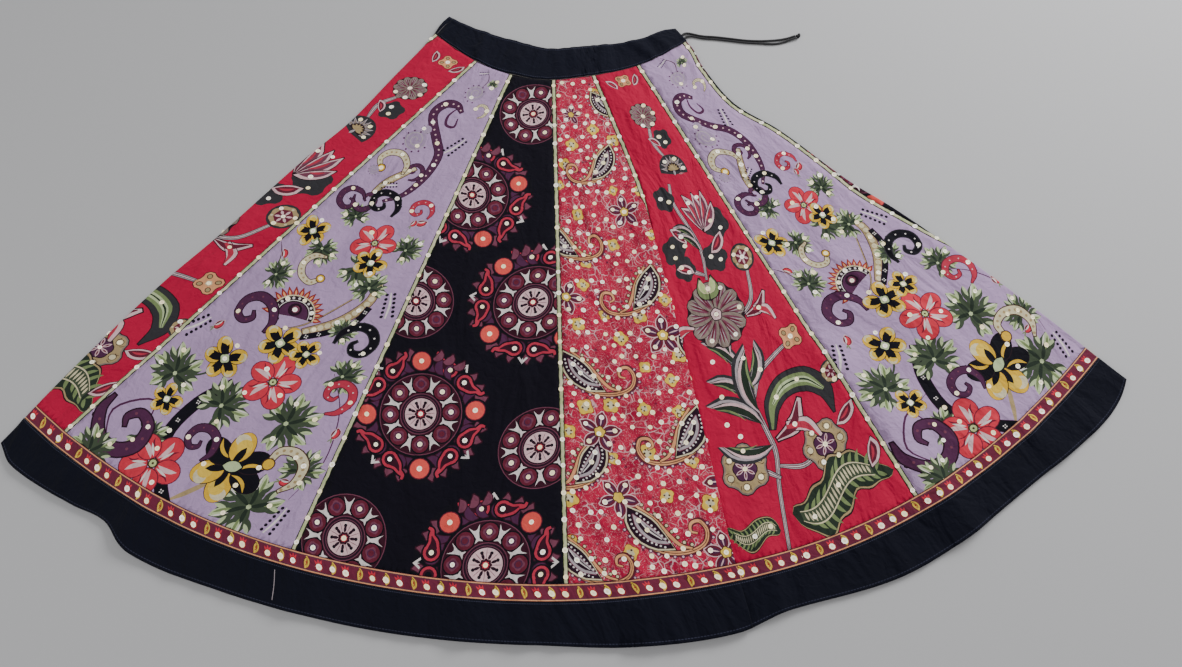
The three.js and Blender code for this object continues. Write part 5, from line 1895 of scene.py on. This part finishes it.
WAISTBAND_FOLDS = wrinkles(3, waistband_panel.around, 15, 1.6, 5)
HEM_FOLDS = wrinkles(5, hem_panel.around, 34, 1.5, 9)
BORDER_PRINT = border_print()
BANDS = [
    ("waistband", waistband_panel, "#0f1120", "navy_cotton", Print(), WAISTBAND_FOLDS, 5),
    ("border", border_panel, "#742a41", "plum_border", BORDER_PRINT, None, 8),
    ("hem_band", hem_panel, "#0d0f1d", "navy_cotton", hem_print(), HEM_FOLDS, 8),
]
BAND_STITCHES = {
    "waistband": [(0.003, 0.003), (0.053, 0.003)], "border": [(0.0026, 0.003), (0.0194, 0.003)],
    "hem_band": [(0.0025, 0.003), (0.05, 0.004)],
}
band_pieces = []
for node, panel, colour, slot, shown, relief, step in BANDS:
    piece = sew(f"cloth_{node}", panel, colour, shown.shapes, step=step, relief=relief)
    dress(piece, cotton(node, stitches=BAND_STITCHES[node]), slot, node)
    band_pieces.append(piece)
last_gem = border_panel.around / 2 - SEQUIN_FROM_END
border_gems = [tuple(gem) for gem in BORDER_PRINT.gems if abs(gem[0]) < last_gem]
dice = random.Random(9)
border_beads = sequins("sequins_border", border_panel, border_gems, dice, share_of_size=1.15)
ride_on_root(border_beads)

# The drawstring: middle of each strand from the waistband to the knot, and the knot
STRAND_A = [
    (180, 461.4, 3.2), (184.3, 465.1, 2.9), (190, 466.8, 2.3), (199, 465.4, 1.8), (211.5, 462, 1.75),
    (236.7, 459.6, 1.75), (261.8, 456.2, 1.75), (286.9, 452.6, 1.75), (312, 451.4, 1.75), (330, 452.2, 1.75),
    (342, 453.4, 1.75), (352, 455, 2.1), (362, 457.1, 3.1), (366, 458.3, 3.7), (370.7, 459.9, 4),
]
STRAND_B = [
    (184.2, 455.15, 3.2), (188.7, 459, 2.9), (195, 460.8, 2.3), (203, 459.8, 1.8), (214, 457.2, 1.75),
    (237, 455, 1.75), (262, 451.6, 1.75), (287, 448, 1.75), (312, 446.4, 1.75), (326, 445.4, 1.75),
    (338, 445.6, 1.75), (350, 448.2, 2.1), (361, 452.2, 3.1), (366, 454.2, 3.7), (371.9, 456.35, 4),
]
CORD_DIAMETER = 3.4
KNOT = {
    "centre": (376.3, 459.95, 4.25), "turned": 19.9, "long": 9, "wide": 7.6, "cord": 1.5, "rise": 1.7,
    "points": 18,
}


def tube(name, spots, radius, closed=False):
    curve = bpy.data.curves.new(name, "CURVE")
    curve.dimensions = "3D"
    curve.bevel_depth = radius * MM
    curve.bevel_resolution = 3
    curve.resolution_u = 6
    curve.use_fill_caps = True
    spline = curve.splines.new("BEZIER")
    spline.bezier_points.add(len(spots) - 1)
    spline.use_cyclic_u = closed
    for point, spot in zip(spline.bezier_points, spots):
        point.co = Vector(spot) * MM
        point.handle_left_type = point.handle_right_type = "AUTO"
    piece = bpy.data.objects.new(name, curve)
    bpy.context.scene.collection.objects.link(piece)
    piece.data.materials.append(BRAID)
    ride_on_root(piece)
    return piece


def knot_line():
    """A closed overhand turn, flattened to the knot's size"""
    found = []
    for i in range(KNOT["points"]):
        a = 2 * math.pi * i / KNOT["points"]
        x, y = math.sin(a) + 2 * math.sin(2 * a), math.cos(a) - 2 * math.cos(2 * a)
        found.append((x, y, -math.sin(3 * a)))
    spots = np.array(found)
    spots /= np.abs(spots).max(axis=0)
    spots *= (KNOT["long"] / 2 - KNOT["cord"], KNOT["wide"] / 2 - KNOT["cord"], KNOT["rise"])
    c, s = math.cos(KNOT["turned"] * RAD), math.sin(KNOT["turned"] * RAD)
    spots[:, :2] = spots[:, :2] @ np.array([[c, s], [-s, c]])
    return spots + KNOT["centre"]


BRAID = black_braid()
cord_a = tube("cord_a", STRAND_A, CORD_DIAMETER / 2)
cord_b = tube("cord_b", STRAND_B, CORD_DIAMETER / 2)
knot = tube("knot", knot_line(), KNOT["cord"], closed=True)
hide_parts("drawstring_a")
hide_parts("drawstring_b")
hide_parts("drawstring_knot")

for cord, route in ((cord_a, STRAND_A), (cord_b, STRAND_B)):
    leaves = tuple(v * MM for v in route[0])

# The sequins of each band: the border's, and none on the others.
for piece, panel in zip(band_pieces, (waistband_panel, border_panel, hem_panel)):
    beads = [border_beads] if panel is border_panel else []

# The photo's camera, in millimetres and degrees from straight down
SENSOR_WIDTH = 36
LENS = 24.396
CAMERA_PLACE = (27.4, -472.1, 1100)
CAMERA_TILT = 20
FLOOR_SIZE = 12
SKY_STRENGTH = 0.36

camera_data = bpy.data.cameras.new("camera")
camera_data.sensor_width = SENSOR_WIDTH
camera_data.lens = LENS
camera = bpy.data.objects.new("camera", camera_data)
camera.location = Vector(CAMERA_PLACE) * MM
camera.rotation_euler = (math.radians(CAMERA_TILT), 0, 0)
bpy.context.scene.collection.objects.link(camera)
bpy.context.scene.camera = camera

bpy.ops.mesh.primitive_plane_add(size=FLOOR_SIZE)
floor = bpy.context.object
floor.name = "floor"
floor.data.materials.append(plain_finish("floor", "#c9c9cb", 0.9))

world = bpy.data.worlds.new("world")
world.use_nodes = True
sky = world.node_tree.nodes["Background"]
sky.inputs["Color"].default_value = (1, 1, 1, 1)
sky.inputs["Strength"].default_value = SKY_STRENGTH
bpy.context.scene.world = world


def lamp(name, place, aim, size, power):
    data = bpy.data.lights.new(name, "AREA")
    data.size = size
    data.energy = power
    light = bpy.data.objects.new(name, data)
    light.location = place
    light.rotation_euler = (Vector(aim) - Vector(place)).to_track_quat("-Z", "Y").to_euler()
    bpy.context.scene.collection.objects.link(light)


lamp("key", (1.9, 1.7, 1.5), (0, 0, 0), 1.2, 74)
lamp("fill", (-1.8, -1.2, 2.0), (0, 0, 0), 2.0, 18)
